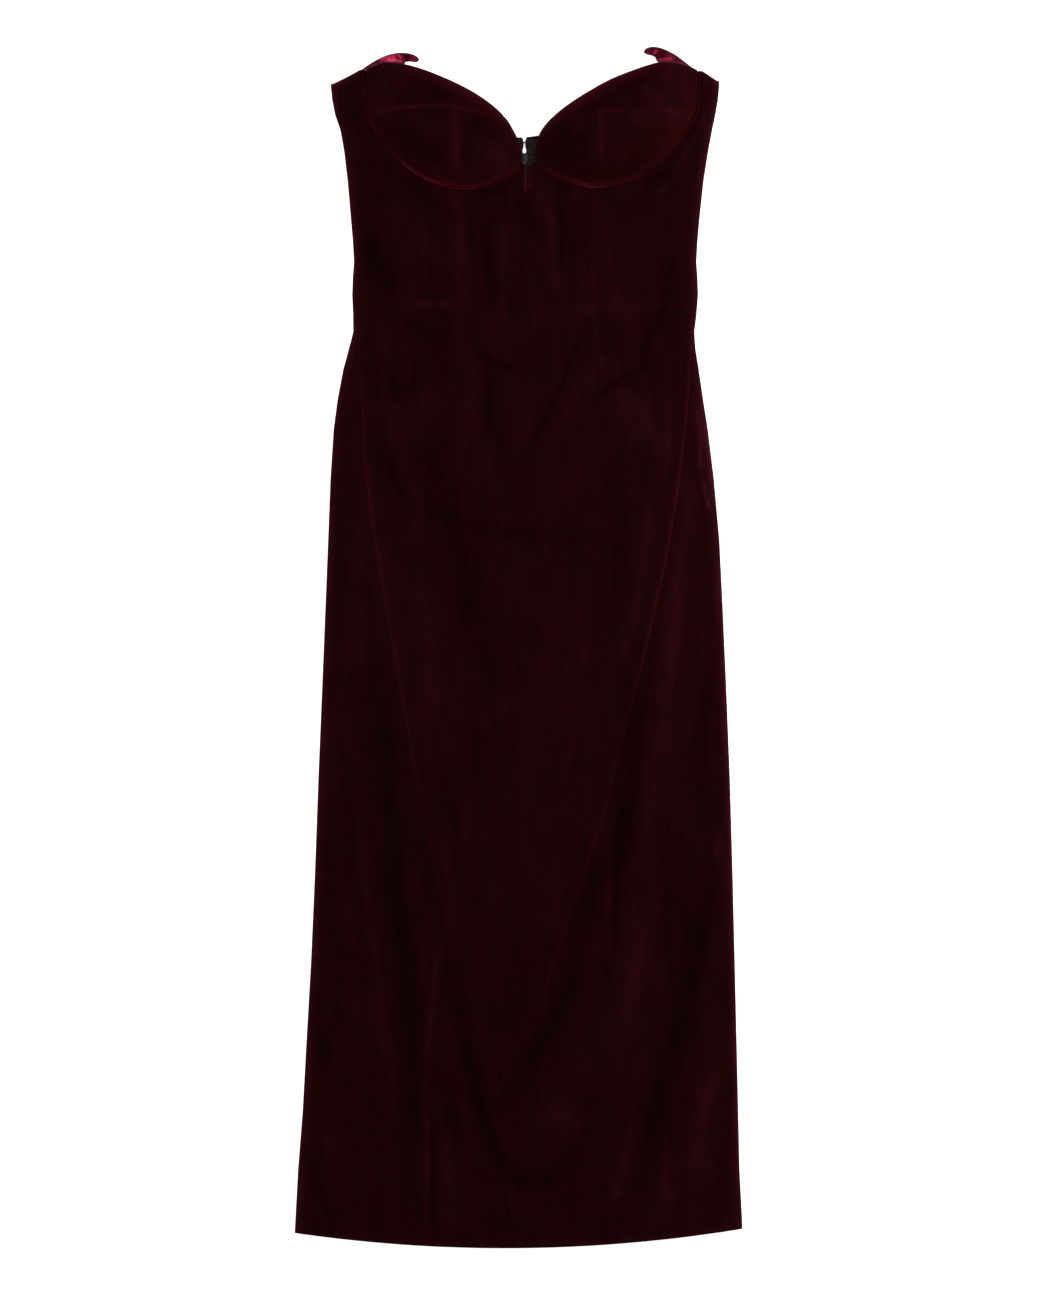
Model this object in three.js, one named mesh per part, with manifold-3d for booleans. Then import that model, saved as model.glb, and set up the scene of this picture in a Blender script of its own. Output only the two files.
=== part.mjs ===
// Strapless velvet bustier dress laid flat on its back, in mm, +Y toward the neckline, +Z up
import * as THREE from 'three';
import { mergeVertices } from 'three/addons/utils/BufferGeometryUtils.js';
import Module from 'manifold-3d';

const wasm = await Module();
wasm.setup();

// Cloth and seams
const CLOTH = 2.0;
const SEAM_GAP = 0.3;
const CUP_CLOTH = 3.0;
const CASING_WIDTH = 2.4;
const CASING_HEIGHT = 3.4;
const SIDE_SEAM_HEIGHT = CLOTH + SEAM_GAP + CLOTH + 0.05;
const STEEPEST = 2.2;
const PRISM_TOP = 120;

// Laid-out silhouette, one row for each station up the dress
const SILHOUETTE = [
  { y: -625, left: -233.9, right: 233.9 },
  { y: -543, left: -229.7, right: 230.4 },
  { y: -418, left: -221.4, right: 227.6 },
  { y: -231, left: -212.0, right: 223.1 },
  { y: -43, left: -204.7, right: 216.7 },
  { y: 113, left: -198.4, right: 209.4 },
  { y: 228, left: -192.7, right: 197.4 },
  { y: 290, left: -182.8, right: 188.0 },
  { y: 330, left: -171.9, right: 183.3 },
  { y: 368, left: -173.3, right: 187.2 },
  { y: 403, left: -171.4, right: 185.4 },
  { y: 446, left: -174.5, right: 188.5 },
  { y: 519, left: -181.8, right: 197.9 },
  { y: 556, left: -191.1, right: 205.2 },
  { y: 588, left: -195.8, right: 209.4 },
];

// Hem, a shallow arc
const HEM = { low: -625, centre: -14, halfWidth: 220, rise: 16 };

// How far the middle of the front stands above its side seams
const CROWN = [
  { y: -640, rise: 0.3 },
  { y: -500, rise: 0.6 },
  { y: -300, rise: 1.6 },
  { y: -100, rise: 3.2 },
  { y: 100, rise: 4.6 },
  { y: 240, rise: 6.0 },
  { y: 360, rise: 9.0 },
  { y: 430, rise: 11.5 },
  { y: 490, rise: 13.5 },
  { y: 620, rise: 15.0 },
];
const CROWN_SHOULDER = 3;
const EDGE_CALM = 22;

// Largest folds of the front: a soft ridge or trough from one end to the other
const FOLDS = [
  { name: 'left edge swell', x1: -182, y1: -180, x2: -168, y2: -560, half: 22, high: 3.4 },
  { name: 'left narrow ridge', x1: -119, y1: -230, x2: -97, y2: -590, half: 13, high: 4.2 },
  { name: 'sharp crease', x1: -90, y1: -340, x2: -88, y2: -610, half: 9, high: 2.2 },
  { name: 'left seam swell', x1: -104, y1: 40, x2: -40, y2: -300, half: 18, high: 2.6 },
  { name: 'centre swell', x1: 14, y1: 40, x2: -8, y2: -330, half: 42, high: 2.4 },
  { name: 'tip swell', x1: 52, y1: -400, x2: 22, y2: -520, half: 24, high: 4.0 },
  { name: 'right swell', x1: 116, y1: -230, x2: 88, y2: -590, half: 24, high: 4.6 },
  { name: 'right edge swell', x1: 200, y1: -240, x2: 176, y2: -600, half: 18, high: 3.2 },
  { name: 'right seam swell', x1: 150, y1: 30, x2: 108, y2: -240, half: 16, high: 2.6 },
  { name: 'hip ridge', x1: 118, y1: 280, x2: 160, y2: 190, half: 14, high: 2.2 },
  { name: 'hip arc', x1: -60, y1: 150, x2: 66, y2: 134, half: 18, high: 2.2 },
  { name: 'hip arc shade', x1: -92, y1: 112, x2: 88, y2: 108, half: 14, high: -1.6 },
  { name: 'diagonal crease', x1: 76, y1: 330, x2: -8, y2: 182, half: 12, high: -1.8 },
  { name: 'left rib trough', x1: -46, y1: 476, x2: -24, y2: 345, half: 13, high: -2.6 },
  { name: 'right rib trough', x1: 56, y1: 470, x2: 46, y2: 385, half: 12, high: -2.4 },
  { name: 'left side hollow', x1: -154, y1: 430, x2: -120, y2: 368, half: 16, high: -2.4 },
  { name: 'right side hollow', x1: 172, y1: 420, x2: 136, y2: 288, half: 15, high: -2.4 },
];

// Seams of the front, each from its upper end down
const SEAMS = {
  princessLeft: [[-60.9, 486], [-62.5, 467], [-60.9, 432], [-63, 403], [-57.8, 356], [-56.8, 330], [-53.6, 311]],
  princessRight: [[82.8, 488], [82.3, 467], [81.8, 432], [79.7, 396], [80.7, 356], [87, 311], [94.3, 271]],
  waistLeft: [[-182, 364.3], [-123.4, 363], [-57.8, 356.8]],
  waistRight: [[80.7, 356.8], [137, 356.8], [196, 359]],
  slantLeft: [[-182, 324.5], [-168.5, 318], [-165.1, 271], [-158.9, 176], [-145.7, 86], [-125.5, -33],
    [-106.8, -132], [-77.6, -267], [-50.5, -397], [-32.8, -470]],
  slantRight: [[194, 318.5], [181.5, 312], [177.2, 257], [169.9, 186], [155.3, 97], [127.6, -25],
    [105.7, -108], [88, -181], [65.6, -242], [43.2, -312], [15, -398], [-6, -435], [-32.8, -470]],
  centre: [[-32.8, -470], [-29.7, -502], [-22.4, -533], [-14.1, -575], [-4, -645]],
};

// Top edge of the front from the right side seam to the left, level above the cups
const UNDERARM = [[209.4, 592.2], [196.4, 598.4], [188, 602.6], [170, 612], [-150, 612], [-165.1, 602.6],
  [-180.7, 594.3]];
const ABOVE_CUPS = 640;

// Cups: wire line from the top of the outer seam to the notch, neckline back again, seams and heights
const CUPS = [
  {
    side: 'left',
    apex: { x: -62, y: 556, z: 62 },
    wire: [[-160.9, 602.6], [-161.5, 576.6], [-158.9, 558.9], [-141.1, 529.7], [-116.1, 502.6],
      [-90.1, 487], [-59.9, 479.7], [-35.9, 482.8], [-10.9, 493.2], [4.7, 506.8]],
    neckline: [[3.6, 519.3], [-3.6, 535.9], [-14.1, 552.6], [-32.8, 569.3], [-59.9, 585.4],
      [-100.5, 602.6], [-133.9, 610.4], [-149.5, 606.8]],
    neckHeights: [20, 25, 30, 34, 36, 33, 27, 23],
    crossSeam: [[-170, 555.5], [-131.8, 559.9], [-92.2, 564.1], [-62, 559.9], [-40.1, 555.7], [6, 551.5]],
    dropSeam: [[-62, 562], [-63.3, 545.3], [-63, 519.3], [-60.9, 470]],
  },
  {
    side: 'right',
    apex: { x: 84, y: 556, z: 64 },
    wire: [[188, 601.5], [187, 571.4], [183.9, 554.7], [170.3, 533.9], [146.4, 507.8],
      [119.3, 490.1], [84, 481.2], [64.1, 483.9], [35.9, 494.3], [17.2, 507.8]],
    neckline: [[18.8, 527.6], [27.6, 544.3], [45.3, 560.9], [70.3, 577.6], [101.6, 594.3],
      [142.2, 608.9], [163, 609.9], [178.6, 605.7]],
    neckHeights: [22, 28, 33, 36, 37, 31, 27, 23],
    crossSeam: [[196, 559.4], [157.8, 557.8], [107.8, 558.9], [83.9, 555.7], [64.1, 552.6], [20, 554.5]],
    dropSeam: [[83.9, 560], [85.9, 540.1], [85.9, 509.9], [82, 470]],
  },
];
const CUP_RINGS = 6;
const WIRE_STEPS = 22;
const NECK_STEPS = 15;
const WIRE_STEEPNESS = 2.5;
const NECK_STEEPNESS = 1.7;

// Notch between the cups, open at the top and closing to a point
const NOTCH = [
  { y: 530, left: 3.0, right: 19.0 },
  { y: 508, left: 5.8, right: 12.5 },
  { y: 500, left: 7.3, right: 10.9 },
  { y: 471, left: 9.3, right: 9.9 },
];

// Turned tips, horns of rolled cloth at the top of each cup: inner line on the neckline, outer line free
const TIPS = [
  {
    side: 'left',
    inner: [[-158.5, 603.6], [-146, 604.5], [-131, 606], [-120, 606], [-117.4, 609.9], [-110, 610.4],
      [-104.3, 611.4]],
    free: [[-158.5, 605.6], [-153, 609], [-146.4, 612.9], [-135.9, 617], [-124.2, 618.9], [-113, 617.8],
      [-106.2, 614.8], [-103.8, 612.4]],
    heights: [17, 21.5, 24.5, 26.5, 27, 26.5, 25, 23],
  },
  {
    side: 'right',
    inner: [[181, 600], [170, 604], [158, 606], [146, 605.5], [143.3, 611.5], [139.9, 616.1], [131.6, 618.4]],
    free: [[181, 604.4], [172.4, 610.8], [164.1, 616.9], [155.7, 621.4], [147.4, 624.4], [139, 625],
      [133.4, 623.4], [130.7, 620.4]],
    heights: [19, 23, 25.5, 27.5, 28.5, 28, 26.5, 24],
  },
];
const TIP_CLOTH = 1.6;
const TIP_ROLL = 1.6;

// Back: neckline, centre-back opening and the lift of the cloth over the zip pull
const BACK_NECK = [[-195, 589], [-180, 583], [-102.6, 558.9], [-40.1, 542.2], [6.2, 532.6],
  [84.9, 550.5], [150, 572], [209, 592]];
const CENTRE_BACK = 6.2;
const OPENING = [
  { y: 540, half: 2.6 },
  { y: 533, half: 1.9 },
  { y: 526, half: 0.7 },
  { y: 523, half: 0.7 },
  { y: 519, half: 2.0 },
  { y: 516, half: 1.5 },
  { y: 504, half: 1.5 },
  { y: 498, half: 0.15 },
  { y: -645, half: 0.15 },
];
const LIFT = { high: 2.6, flatHalf: 8, fade: 20, fullFrom: 482, fadeLength: 22 };

// Zip: tapes and chain inside the back, slider with its pull on the outside
const TAPE = { width: 14, thick: 0.8, bottom: 170, top: 531 };
const CHAIN = { half: 1.7, thick: 1.3, bottom: 176, top: 502.5 };
const SLIDER = { y: 510, halfWidth: 3.5, halfLength: 5.6, thick: 2.4, bevel: 0.4 };
const CROWN_WEB = { half: 0.6, halfLength: 1.55, low: 0.25, boreRadius: 0.75 };
const PULL_AXIS_Z = 1.55;
const PULL = { bar: 0.42, arm: 0.95, half: 2.7, thick: 1.0, length: 22, windowEnd: 3.0 };
const HOOK_Y = 527;
const WIRE_RADIUS = 0.4;

// Small helpers on numbers and tables
const mix = (a, b, t) => a + (b - a) * t;
const smooth = (t) => {
  const c = Math.min(1, Math.max(0, t));
  return c * c * (3 - 2 * c);
};

function read(table, y, column) {
  const rising = table[0].y < table[table.length - 1].y;
  const rows = rising ? table : [...table].reverse();
  let i = 1;
  while (i < rows.length - 1 && y > rows[i].y) i += 1;
  const a = rows[i - 1];
  const b = rows[i];
  const t = Math.min(1, Math.max(0, (y - a.y) / (b.y - a.y)));
  return mix(a[column], b[column], t);
}

function along(values, share) {
  const place = share * (values.length - 1);
  const k = Math.min(values.length - 2, Math.floor(place));
  return mix(values[k], values[k + 1], place - k);
}

const leftAt = (y) => read(SILHOUETTE, y, 'left');
const rightAt = (y) => read(SILHOUETTE, y, 'right');
const hemAt = (x) => HEM.low + HEM.rise * ((x - HEM.centre) / HEM.halfWidth) ** 2;

function curve(points, steps) {
  const spline = new THREE.SplineCurve(points.map(([x, y]) => new THREE.Vector2(x, y)));
  return spline.getSpacedPoints(steps).map((p) => [p.x, p.y]);
}

// Height of the front cloth's outer face
function foldHeight(fold, x, y) {
  const dx = fold.x2 - fold.x1;
  const dy = fold.y2 - fold.y1;
  const length = Math.hypot(dx, dy);
  const along = ((x - fold.x1) * dx + (y - fold.y1) * dy) / (length * length);
  const across = ((x - fold.x1) * dy - (y - fold.y1) * dx) / length;
  const fade = smooth((along + 0.15) / 0.4) * smooth((1.15 - along) / 0.4);
  return fold.high * fade * Math.exp(-((across / fold.half) ** 2));
}

function frontHeight(x, y) {
  const left = leftAt(y);
  const right = rightAt(y);
  const across = Math.min(1, Math.abs((2 * (x - left)) / (right - left) - 1));
  const fromEdge = Math.max(0, Math.min(x - left, right - x));
  const calm = smooth(fromEdge / EDGE_CALM);
  const crown = read(CROWN, y, 'rise') * (1 - across ** CROWN_SHOULDER);
  const folds = FOLDS.reduce((sum, fold) => sum + foldHeight(fold, x, y), 0);
  return SIDE_SEAM_HEIGHT + Math.max(0, crown + calm * folds);
}

// Upright thickness that gives a sloping wall its cloth thickness
function uprightThickness(heightAt, x, y, cloth) {
  const step = 1.5;
  const gx = (heightAt(x + step, y) - heightAt(x - step, y)) / (2 * step);
  const gy = (heightAt(x, y + step) - heightAt(x, y - step)) / (2 * step);
  return cloth * Math.min(STEEPEST, Math.hypot(1, gx, gy));
}

// Solids from grids and outlines
function solid(positions, triangles) {
  const geometry = new THREE.BufferGeometry();
  geometry.setAttribute('position', new THREE.Float32BufferAttribute(positions, 3));
  geometry.setIndex(triangles);
  return toSolid(geometry);
}

function toSolid(geometry) {
  const bare = geometry.clone();
  bare.deleteAttribute('normal');
  bare.deleteAttribute('uv');
  const merged = mergeVertices(bare, 1e-4);
  const mesh = new wasm.Mesh({
    numProp: 3,
    vertProperties: new Float32Array(merged.attributes.position.array),
    triVerts: new Uint32Array(merged.index.array),
  });
  return new wasm.Manifold(mesh);
}

function gridWall(rows, columns, pointAt) {
  const top = [];
  const bottom = [];
  for (let i = 0; i <= rows; i += 1) {
    for (let j = 0; j <= columns; j += 1) {
      const p = pointAt(i / rows, j / columns);
      top.push(p.x, p.y, p.top);
      bottom.push(p.x, p.y, p.bottom);
    }
  }
  const base = (rows + 1) * (columns + 1);
  const at = (i, j) => i * (columns + 1) + j;
  const triangles = [];
  const quad = (a, b, c, d) => triangles.push(a, b, c, a, c, d);
  for (let i = 0; i < rows; i += 1) {
    for (let j = 0; j < columns; j += 1) {
      quad(at(i, j), at(i, j + 1), at(i + 1, j + 1), at(i + 1, j));
      quad(base + at(i, j), base + at(i + 1, j), base + at(i + 1, j + 1), base + at(i, j + 1));
    }
  }
  for (let j = 0; j < columns; j += 1) {
    quad(at(0, j), base + at(0, j), base + at(0, j + 1), at(0, j + 1));
    quad(at(rows, j + 1), base + at(rows, j + 1), base + at(rows, j), at(rows, j));
  }
  for (let i = 0; i < rows; i += 1) {
    quad(at(i + 1, 0), base + at(i + 1, 0), base + at(i, 0), at(i, 0));
    quad(at(i, columns), base + at(i, columns), base + at(i + 1, columns), at(i + 1, columns));
  }
  return solid([...top, ...bottom], triangles);
}

function prism(outline, low = -10, high = PRISM_TOP) {
  const shape = new THREE.Shape(outline.map(([x, y]) => new THREE.Vector2(x, y)));
  const geometry = new THREE.ExtrudeGeometry(shape, { depth: high - low, bevelEnabled: false });
  geometry.translate(0, 0, low);
  return toSolid(geometry);
}

function band(points, width) {
  const sides = [[], []];
  points.forEach(([x, y], i) => {
    const [ax, ay] = points[Math.max(0, i - 1)];
    const [bx, by] = points[Math.min(points.length - 1, i + 1)];
    const length = Math.hypot(bx - ax, by - ay);
    const nx = (-(by - ay) / length) * (width / 2);
    const ny = ((bx - ax) / length) * (width / 2);
    sides[0].push([x + nx, y + ny]);
    sides[1].push([x - nx, y - ny]);
  });
  return [...sides[0], ...sides[1].reverse()];
}

const seamCut = (points, steps = 14) => prism(band(curve(points, steps), SEAM_GAP));
const union = (solids) => solids.reduce((sum, next) => sum.add(next));

function box(x0, x1, y0, y1, z0, z1) {
  const geometry = new THREE.BoxGeometry(x1 - x0, y1 - y0, z1 - z0);
  geometry.translate((x0 + x1) / 2, (y0 + y1) / 2, (z0 + z1) / 2);
  return toSolid(geometry);
}

function rod(points, radius) {
  const path = new THREE.CatmullRomCurve3(points.map(([x, y, z]) => new THREE.Vector3(x, y, z)));
  const shape = new THREE.Shape().absarc(0, 0, radius, 0, Math.PI * 2);
  const geometry = new THREE.ExtrudeGeometry(shape, {
    steps: points.length * 2,
    curveSegments: 6,
    extrudePath: path,
    bevelEnabled: false,
  });
  return toSolid(geometry);
}

// Bodies a cut leaves, largest first, without its slivers
const SLIVER = 1;

function bodiesOf(cut) {
  const bodies = cut.decompose().filter((body) => body.volume() > SLIVER);
  return bodies.sort((a, b) => b.volume() - a.volume());
}

function bodyNear(bodies, x, y) {
  const distance = (body) => {
    const { min, max } = body.boundingBox();
    return Math.hypot((min[0] + max[0]) / 2 - x, (min[1] + max[1]) / 2 - y);
  };
  return bodies.reduce((best, body) => (distance(body) < distance(best) ? body : best));
}

// Front wall over the silhouette, before it is cut into panels
const FRONT_ROWS = 40;
const FRONT_COLUMNS = 24;
const FRONT_TOP = 612;
const OVERSIZE = 5;
const FLAT_ENOUGH = 0.04;

function frontWall() {
  return gridWall(FRONT_ROWS, FRONT_COLUMNS, (v, u) => {
    const y = mix(HEM.low - OVERSIZE, FRONT_TOP, v);
    const column = Math.round(u * FRONT_COLUMNS);
    const inner = (column - 1) / (FRONT_COLUMNS - 2);
    const beyond = column === 0 ? -OVERSIZE : column === FRONT_COLUMNS ? OVERSIZE : 0;
    const x = mix(leftAt(y), rightAt(y), Math.min(1, Math.max(0, inner))) + beyond;
    const top = frontHeight(x, y);
    return { x, y, top, bottom: top - uprightThickness(frontHeight, x, y, CLOTH) };
  });
}

function hemLine(steps) {
  const { left, right } = SILHOUETTE[0];
  const line = [];
  for (let i = 0; i <= steps; i += 1) {
    const x = mix(left + SEAM_GAP, right - SEAM_GAP, i / steps);
    line.push([x, hemAt(x)]);
  }
  return line;
}

function silhouettePrism(topLine) {
  const stations = SILHOUETTE.slice(1);
  const rightSide = curve(stations.map((row) => [row.right, row.y]), 30);
  const leftSide = curve(stations.map((row) => [row.left, row.y]), 30).reverse();
  return prism([...hemLine(20), ...rightSide, ...topLine, ...leftSide]);
}

function notchPrism() {
  const left = NOTCH.map((row) => [row.left, row.y]);
  const right = NOTCH.map((row) => [row.right, row.y]).reverse();
  return prism([...left, ...right]);
}

// Cups, domes built in rings about the apex
function rimOf(cup) {
  const wire = curve(cup.wire, WIRE_STEPS).map(([x, y], i) => {
    const toEnd = Math.min(i, WIRE_STEPS - i) / WIRE_STEPS;
    const steep = mix(NECK_STEEPNESS, WIRE_STEEPNESS, smooth(toEnd / 0.2));
    return { x, y, z: frontHeight(x, y), steep };
  });
  const ends = [cup.wire[cup.wire.length - 1], ...cup.neckline, cup.wire[0]];
  const heights = [wire[WIRE_STEPS].z, ...cup.neckHeights, wire[0].z];
  const neck = curve(ends, NECK_STEPS).slice(1, -1).map(([x, y], i) => {
    return { x, y, z: along(heights, (i + 1) / NECK_STEPS), steep: NECK_STEEPNESS };
  });
  const rim = [...wire, ...neck];
  return cup.side === 'left' ? rim : rim.reverse();
}

function domeHeight(cup, rim, x, y) {
  const { apex } = cup;
  const dx = x - apex.x;
  const dy = y - apex.y;
  for (let i = 0; i < rim.length; i += 1) {
    const a = rim[i];
    const b = rim[(i + 1) % rim.length];
    const ex = b.x - a.x;
    const ey = b.y - a.y;
    const cross = dx * ey - dy * ex;
    if (Math.abs(cross) < 1e-9) continue;
    const reach = ((a.x - apex.x) * ey - (a.y - apex.y) * ex) / cross;
    const t = ((a.x - apex.x) * dy - (a.y - apex.y) * dx) / cross;
    if (reach > 0 && t >= -1e-6 && t <= 1 + 1e-6) {
      const base = mix(a.z, b.z, t);
      const ratio = Math.min(1.05, 1 / reach);
      return base + (apex.z - base) * (1 - ratio ** mix(a.steep, b.steep, t));
    }
  }
  return apex.z;
}

function cupWall(cup) {
  const rim = rimOf(cup);
  const { apex } = cup;
  const heightAt = (x, y) => domeHeight(cup, rim, x, y);
  const top = [apex.x, apex.y, apex.z];
  const bottom = [apex.x, apex.y, apex.z - CUP_CLOTH];
  for (let ring = 1; ring <= CUP_RINGS; ring += 1) {
    const ratio = (ring / CUP_RINGS) ** 0.85;
    for (const point of rim) {
      const x = mix(apex.x, point.x, ratio);
      const y = mix(apex.y, point.y, ratio);
      const z = point.z + (apex.z - point.z) * (1 - ratio ** point.steep);
      top.push(x, y, z);
      bottom.push(x, y, z - uprightThickness(heightAt, x, y, CUP_CLOTH));
    }
  }
  return solid([...top, ...bottom], domeTriangles(rim.length, CUP_RINGS));
}

function domeTriangles(count, rings) {
  const base = 1 + count * rings;
  const at = (ring, k) => 1 + (ring - 1) * count + (k % count);
  const triangles = [];
  for (let k = 0; k < count; k += 1) {
    triangles.push(0, at(1, k), at(1, k + 1));
    triangles.push(base, base + at(1, k + 1), base + at(1, k));
    for (let ring = 1; ring < rings; ring += 1) {
      const [a, b, c, d] = [at(ring, k), at(ring + 1, k), at(ring + 1, k + 1), at(ring, k + 1)];
      triangles.push(a, b, c, a, c, d);
      triangles.push(base + a, base + c, base + b, base + a, base + d, base + c);
    }
    const [a, b] = [at(rings, k), at(rings, k + 1)];
    triangles.push(a, base + a, base + b, a, base + b, b);
  }
  return triangles;
}

function cupOutline(cup) {
  const wire = curve(cup.wire, WIRE_STEPS);
  const ends = [cup.wire[cup.wire.length - 1], ...cup.neckline, cup.wire[0]];
  return [...wire, ...curve(ends, NECK_STEPS).slice(1, -1)];
}

// Casing, a rounded strip standing in the seam between cup and body
function casing(cup) {
  const steps = WIRE_STEPS + 6;
  const line = curve(cup.wire, steps).slice(0, -2);
  const ring = 8;
  const positions = [];
  line.forEach(([x, y], i) => {
    const [ax, ay] = line[Math.max(0, i - 1)];
    const [bx, by] = line[Math.min(line.length - 1, i + 1)];
    const length = Math.hypot(bx - ax, by - ay);
    const centre = frontHeight(x, y) - CASING_HEIGHT * 0.24;
    for (let k = 0; k < ring; k += 1) {
      const turn = ((k + 0.5) / ring) * Math.PI * 2;
      const out = (Math.cos(turn) * CASING_WIDTH) / 2;
      const up = (Math.sin(turn) * CASING_HEIGHT) / 2;
      positions.push(x + (out * (by - ay)) / length, y - (out * (bx - ax)) / length, centre + up);
    }
  });
  const triangles = [];
  const at = (i, k) => i * ring + (k % ring);
  for (let i = 0; i < line.length - 1; i += 1) {
    for (let k = 0; k < ring; k += 1) {
      triangles.push(at(i, k), at(i + 1, k), at(i + 1, k + 1), at(i, k), at(i + 1, k + 1), at(i, k + 1));
    }
  }
  const last = line.length - 1;
  for (let k = 1; k < ring - 1; k += 1) {
    triangles.push(at(0, 0), at(0, k), at(0, k + 1));
    triangles.push(at(last, 0), at(last, k + 1), at(last, k));
  }
  return solid(positions, triangles);
}

// Turned tip, a small horn of wall between its inner line and its free line, sinking toward its end
function tipWall(tip) {
  const steps = 16;
  const inner = curve(tip.inner, steps);
  const free = curve(tip.free, steps);
  return gridWall(3, steps, (v, u) => {
    const i = Math.round((tip.side === 'left' ? u : 1 - u) * steps);
    const top = along(tip.heights, i / steps) + TIP_ROLL * Math.sin(Math.PI * v);
    return { x: mix(inner[i][0], free[i][0], v), y: mix(inner[i][1], free[i][1], v), top, bottom: top - TIP_CLOTH };
  });
}

// Back wall, flat on the table but for the lift over the zip pull
function liftAt(x, y) {
  const across = smooth((LIFT.flatHalf + LIFT.fade - Math.abs(x - CENTRE_BACK)) / LIFT.fade);
  return LIFT.high * across * smooth((y - LIFT.fullFrom + LIFT.fadeLength) / LIFT.fadeLength);
}

const LIFT_STATIONS = [300, 440, 460, 466, 472, 478, 484, 494];
const BACK_STATIONS = [-630, -300, 100, ...LIFT_STATIONS, 545, 600];
const BACK_COLUMNS = [0, 0.5, 0.86, 0.9, 0.92, 0.94, 0.955, 0.98, 1];

function backWall(side) {
  const columns = side === 'left' ? BACK_COLUMNS : BACK_COLUMNS.map((c) => 1 - c).reverse();
  return gridWall(BACK_STATIONS.length - 1, columns.length - 1, (v, u) => {
    const y = BACK_STATIONS[Math.round(v * (BACK_STATIONS.length - 1))];
    const share = columns[Math.round(u * (columns.length - 1))];
    const from = side === 'left' ? leftAt(y) - OVERSIZE : CENTRE_BACK;
    const to = side === 'left' ? CENTRE_BACK : rightAt(y) + OVERSIZE;
    const x = mix(from, to, share);
    const lift = liftAt(x, y);
    return { x, y, top: CLOTH + lift, bottom: lift };
  });
}

function openingPrism(extra) {
  const left = OPENING.map((row) => [CENTRE_BACK - row.half - extra, row.y]);
  const right = OPENING.map((row) => [CENTRE_BACK + row.half + extra, row.y]).reverse();
  return prism([...left, ...right]);
}

function tape(side) {
  const sign = side === 'left' ? -1 : 1;
  const stations = [TAPE.bottom, ...LIFT_STATIONS, TAPE.top];
  const wall = gridWall(stations.length - 1, 4, (v, u) => {
    const y = stations[Math.round(v * (stations.length - 1))];
    const out = side === 'left' ? 1 - u : u;
    const x = CENTRE_BACK + sign * TAPE.width * out;
    const bottom = CLOTH + SEAM_GAP + liftAt(x, y);
    return { x, y, top: bottom + TAPE.thick, bottom };
  });
  return wall.subtract(openingPrism(0.1));
}

function chain() {
  const stations = [CHAIN.bottom, ...LIFT_STATIONS, CHAIN.top];
  return gridWall(stations.length - 1, 1, (v, u) => {
    const y = stations[Math.round(v * (stations.length - 1))];
    const x = CENTRE_BACK + mix(-CHAIN.half, CHAIN.half, u);
    const bottom = CLOTH + SEAM_GAP + TAPE.thick + SEAM_GAP + liftAt(x, y);
    return { x, y, top: bottom + CHAIN.thick, bottom };
  });
}

// Slider inside, its neck through the opening and its bored crown under the cloth
function slider() {
  const x = CENTRE_BACK;
  const { y, halfWidth, halfLength, thick, bevel } = SLIDER;
  const low = CLOTH + LIFT.high + SEAM_GAP + TAPE.thick + SEAM_GAP;
  const body = new THREE.Shape();
  body.moveTo(x - halfWidth * 0.55, y - halfLength);
  body.lineTo(x + halfWidth * 0.55, y - halfLength);
  body.lineTo(x + halfWidth, y + halfLength * 0.3);
  body.quadraticCurveTo(x + halfWidth, y + halfLength, x, y + halfLength);
  body.quadraticCurveTo(x - halfWidth, y + halfLength, x - halfWidth, y + halfLength * 0.3);
  const geometry = new THREE.ExtrudeGeometry(body, {
    depth: thick - 2 * bevel,
    bevelEnabled: true,
    bevelThickness: bevel,
    bevelSize: bevel,
    bevelSegments: 2,
    curveSegments: 6,
  });
  geometry.translate(0, 0, low + bevel);
  const { half, halfLength: web, low: webLow, boreRadius } = CROWN_WEB;
  const neck = box(x - half, x + half, y - web, y + web, webLow, low + 1);
  const bore = new THREE.CylinderGeometry(boreRadius, boreRadius, 6, 24);
  bore.rotateZ(Math.PI / 2);
  bore.translate(x, y, PULL_AXIS_Z);
  return toSolid(geometry).add(neck).subtract(toSolid(bore));
}

// Pull, a flat drop with a window whose bar runs through the crown
function pull() {
  const { arm, half, thick, length, windowEnd, bar } = PULL;
  const x = CENTRE_BACK;
  const y = SLIDER.y;
  const shape = new THREE.Shape();
  shape.moveTo(x - half * 0.8, y + 0.6);
  shape.lineTo(x + half * 0.8, y + 0.6);
  shape.lineTo(x + half * 0.75, y - windowEnd - 2);
  shape.bezierCurveTo(x + half * 1.1, y - length * 0.7, x + half, y - length, x, y - length);
  shape.bezierCurveTo(x - half, y - length, x - half * 1.1, y - length * 0.7, x - half * 0.75, y - windowEnd - 2);
  const plate = new THREE.ExtrudeGeometry(shape, { depth: thick, bevelEnabled: false, curveSegments: 8 });
  plate.translate(0, 0, PULL_AXIS_Z - thick / 2);
  const window = box(x - arm, x + arm, y - windowEnd, y + 2, -1, 4);
  const pin = new THREE.CylinderGeometry(bar, bar, 2 * arm + 1, 16);
  pin.rotateZ(Math.PI / 2);
  pin.translate(x, y, PULL_AXIS_Z);
  return toSolid(plate).subtract(window).add(toSolid(pin));
}

// Hook on the left tape, eye on the right tape
const FASTENING_LEVEL = CLOTH + LIFT.high + SEAM_GAP + TAPE.thick + SEAM_GAP;

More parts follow.
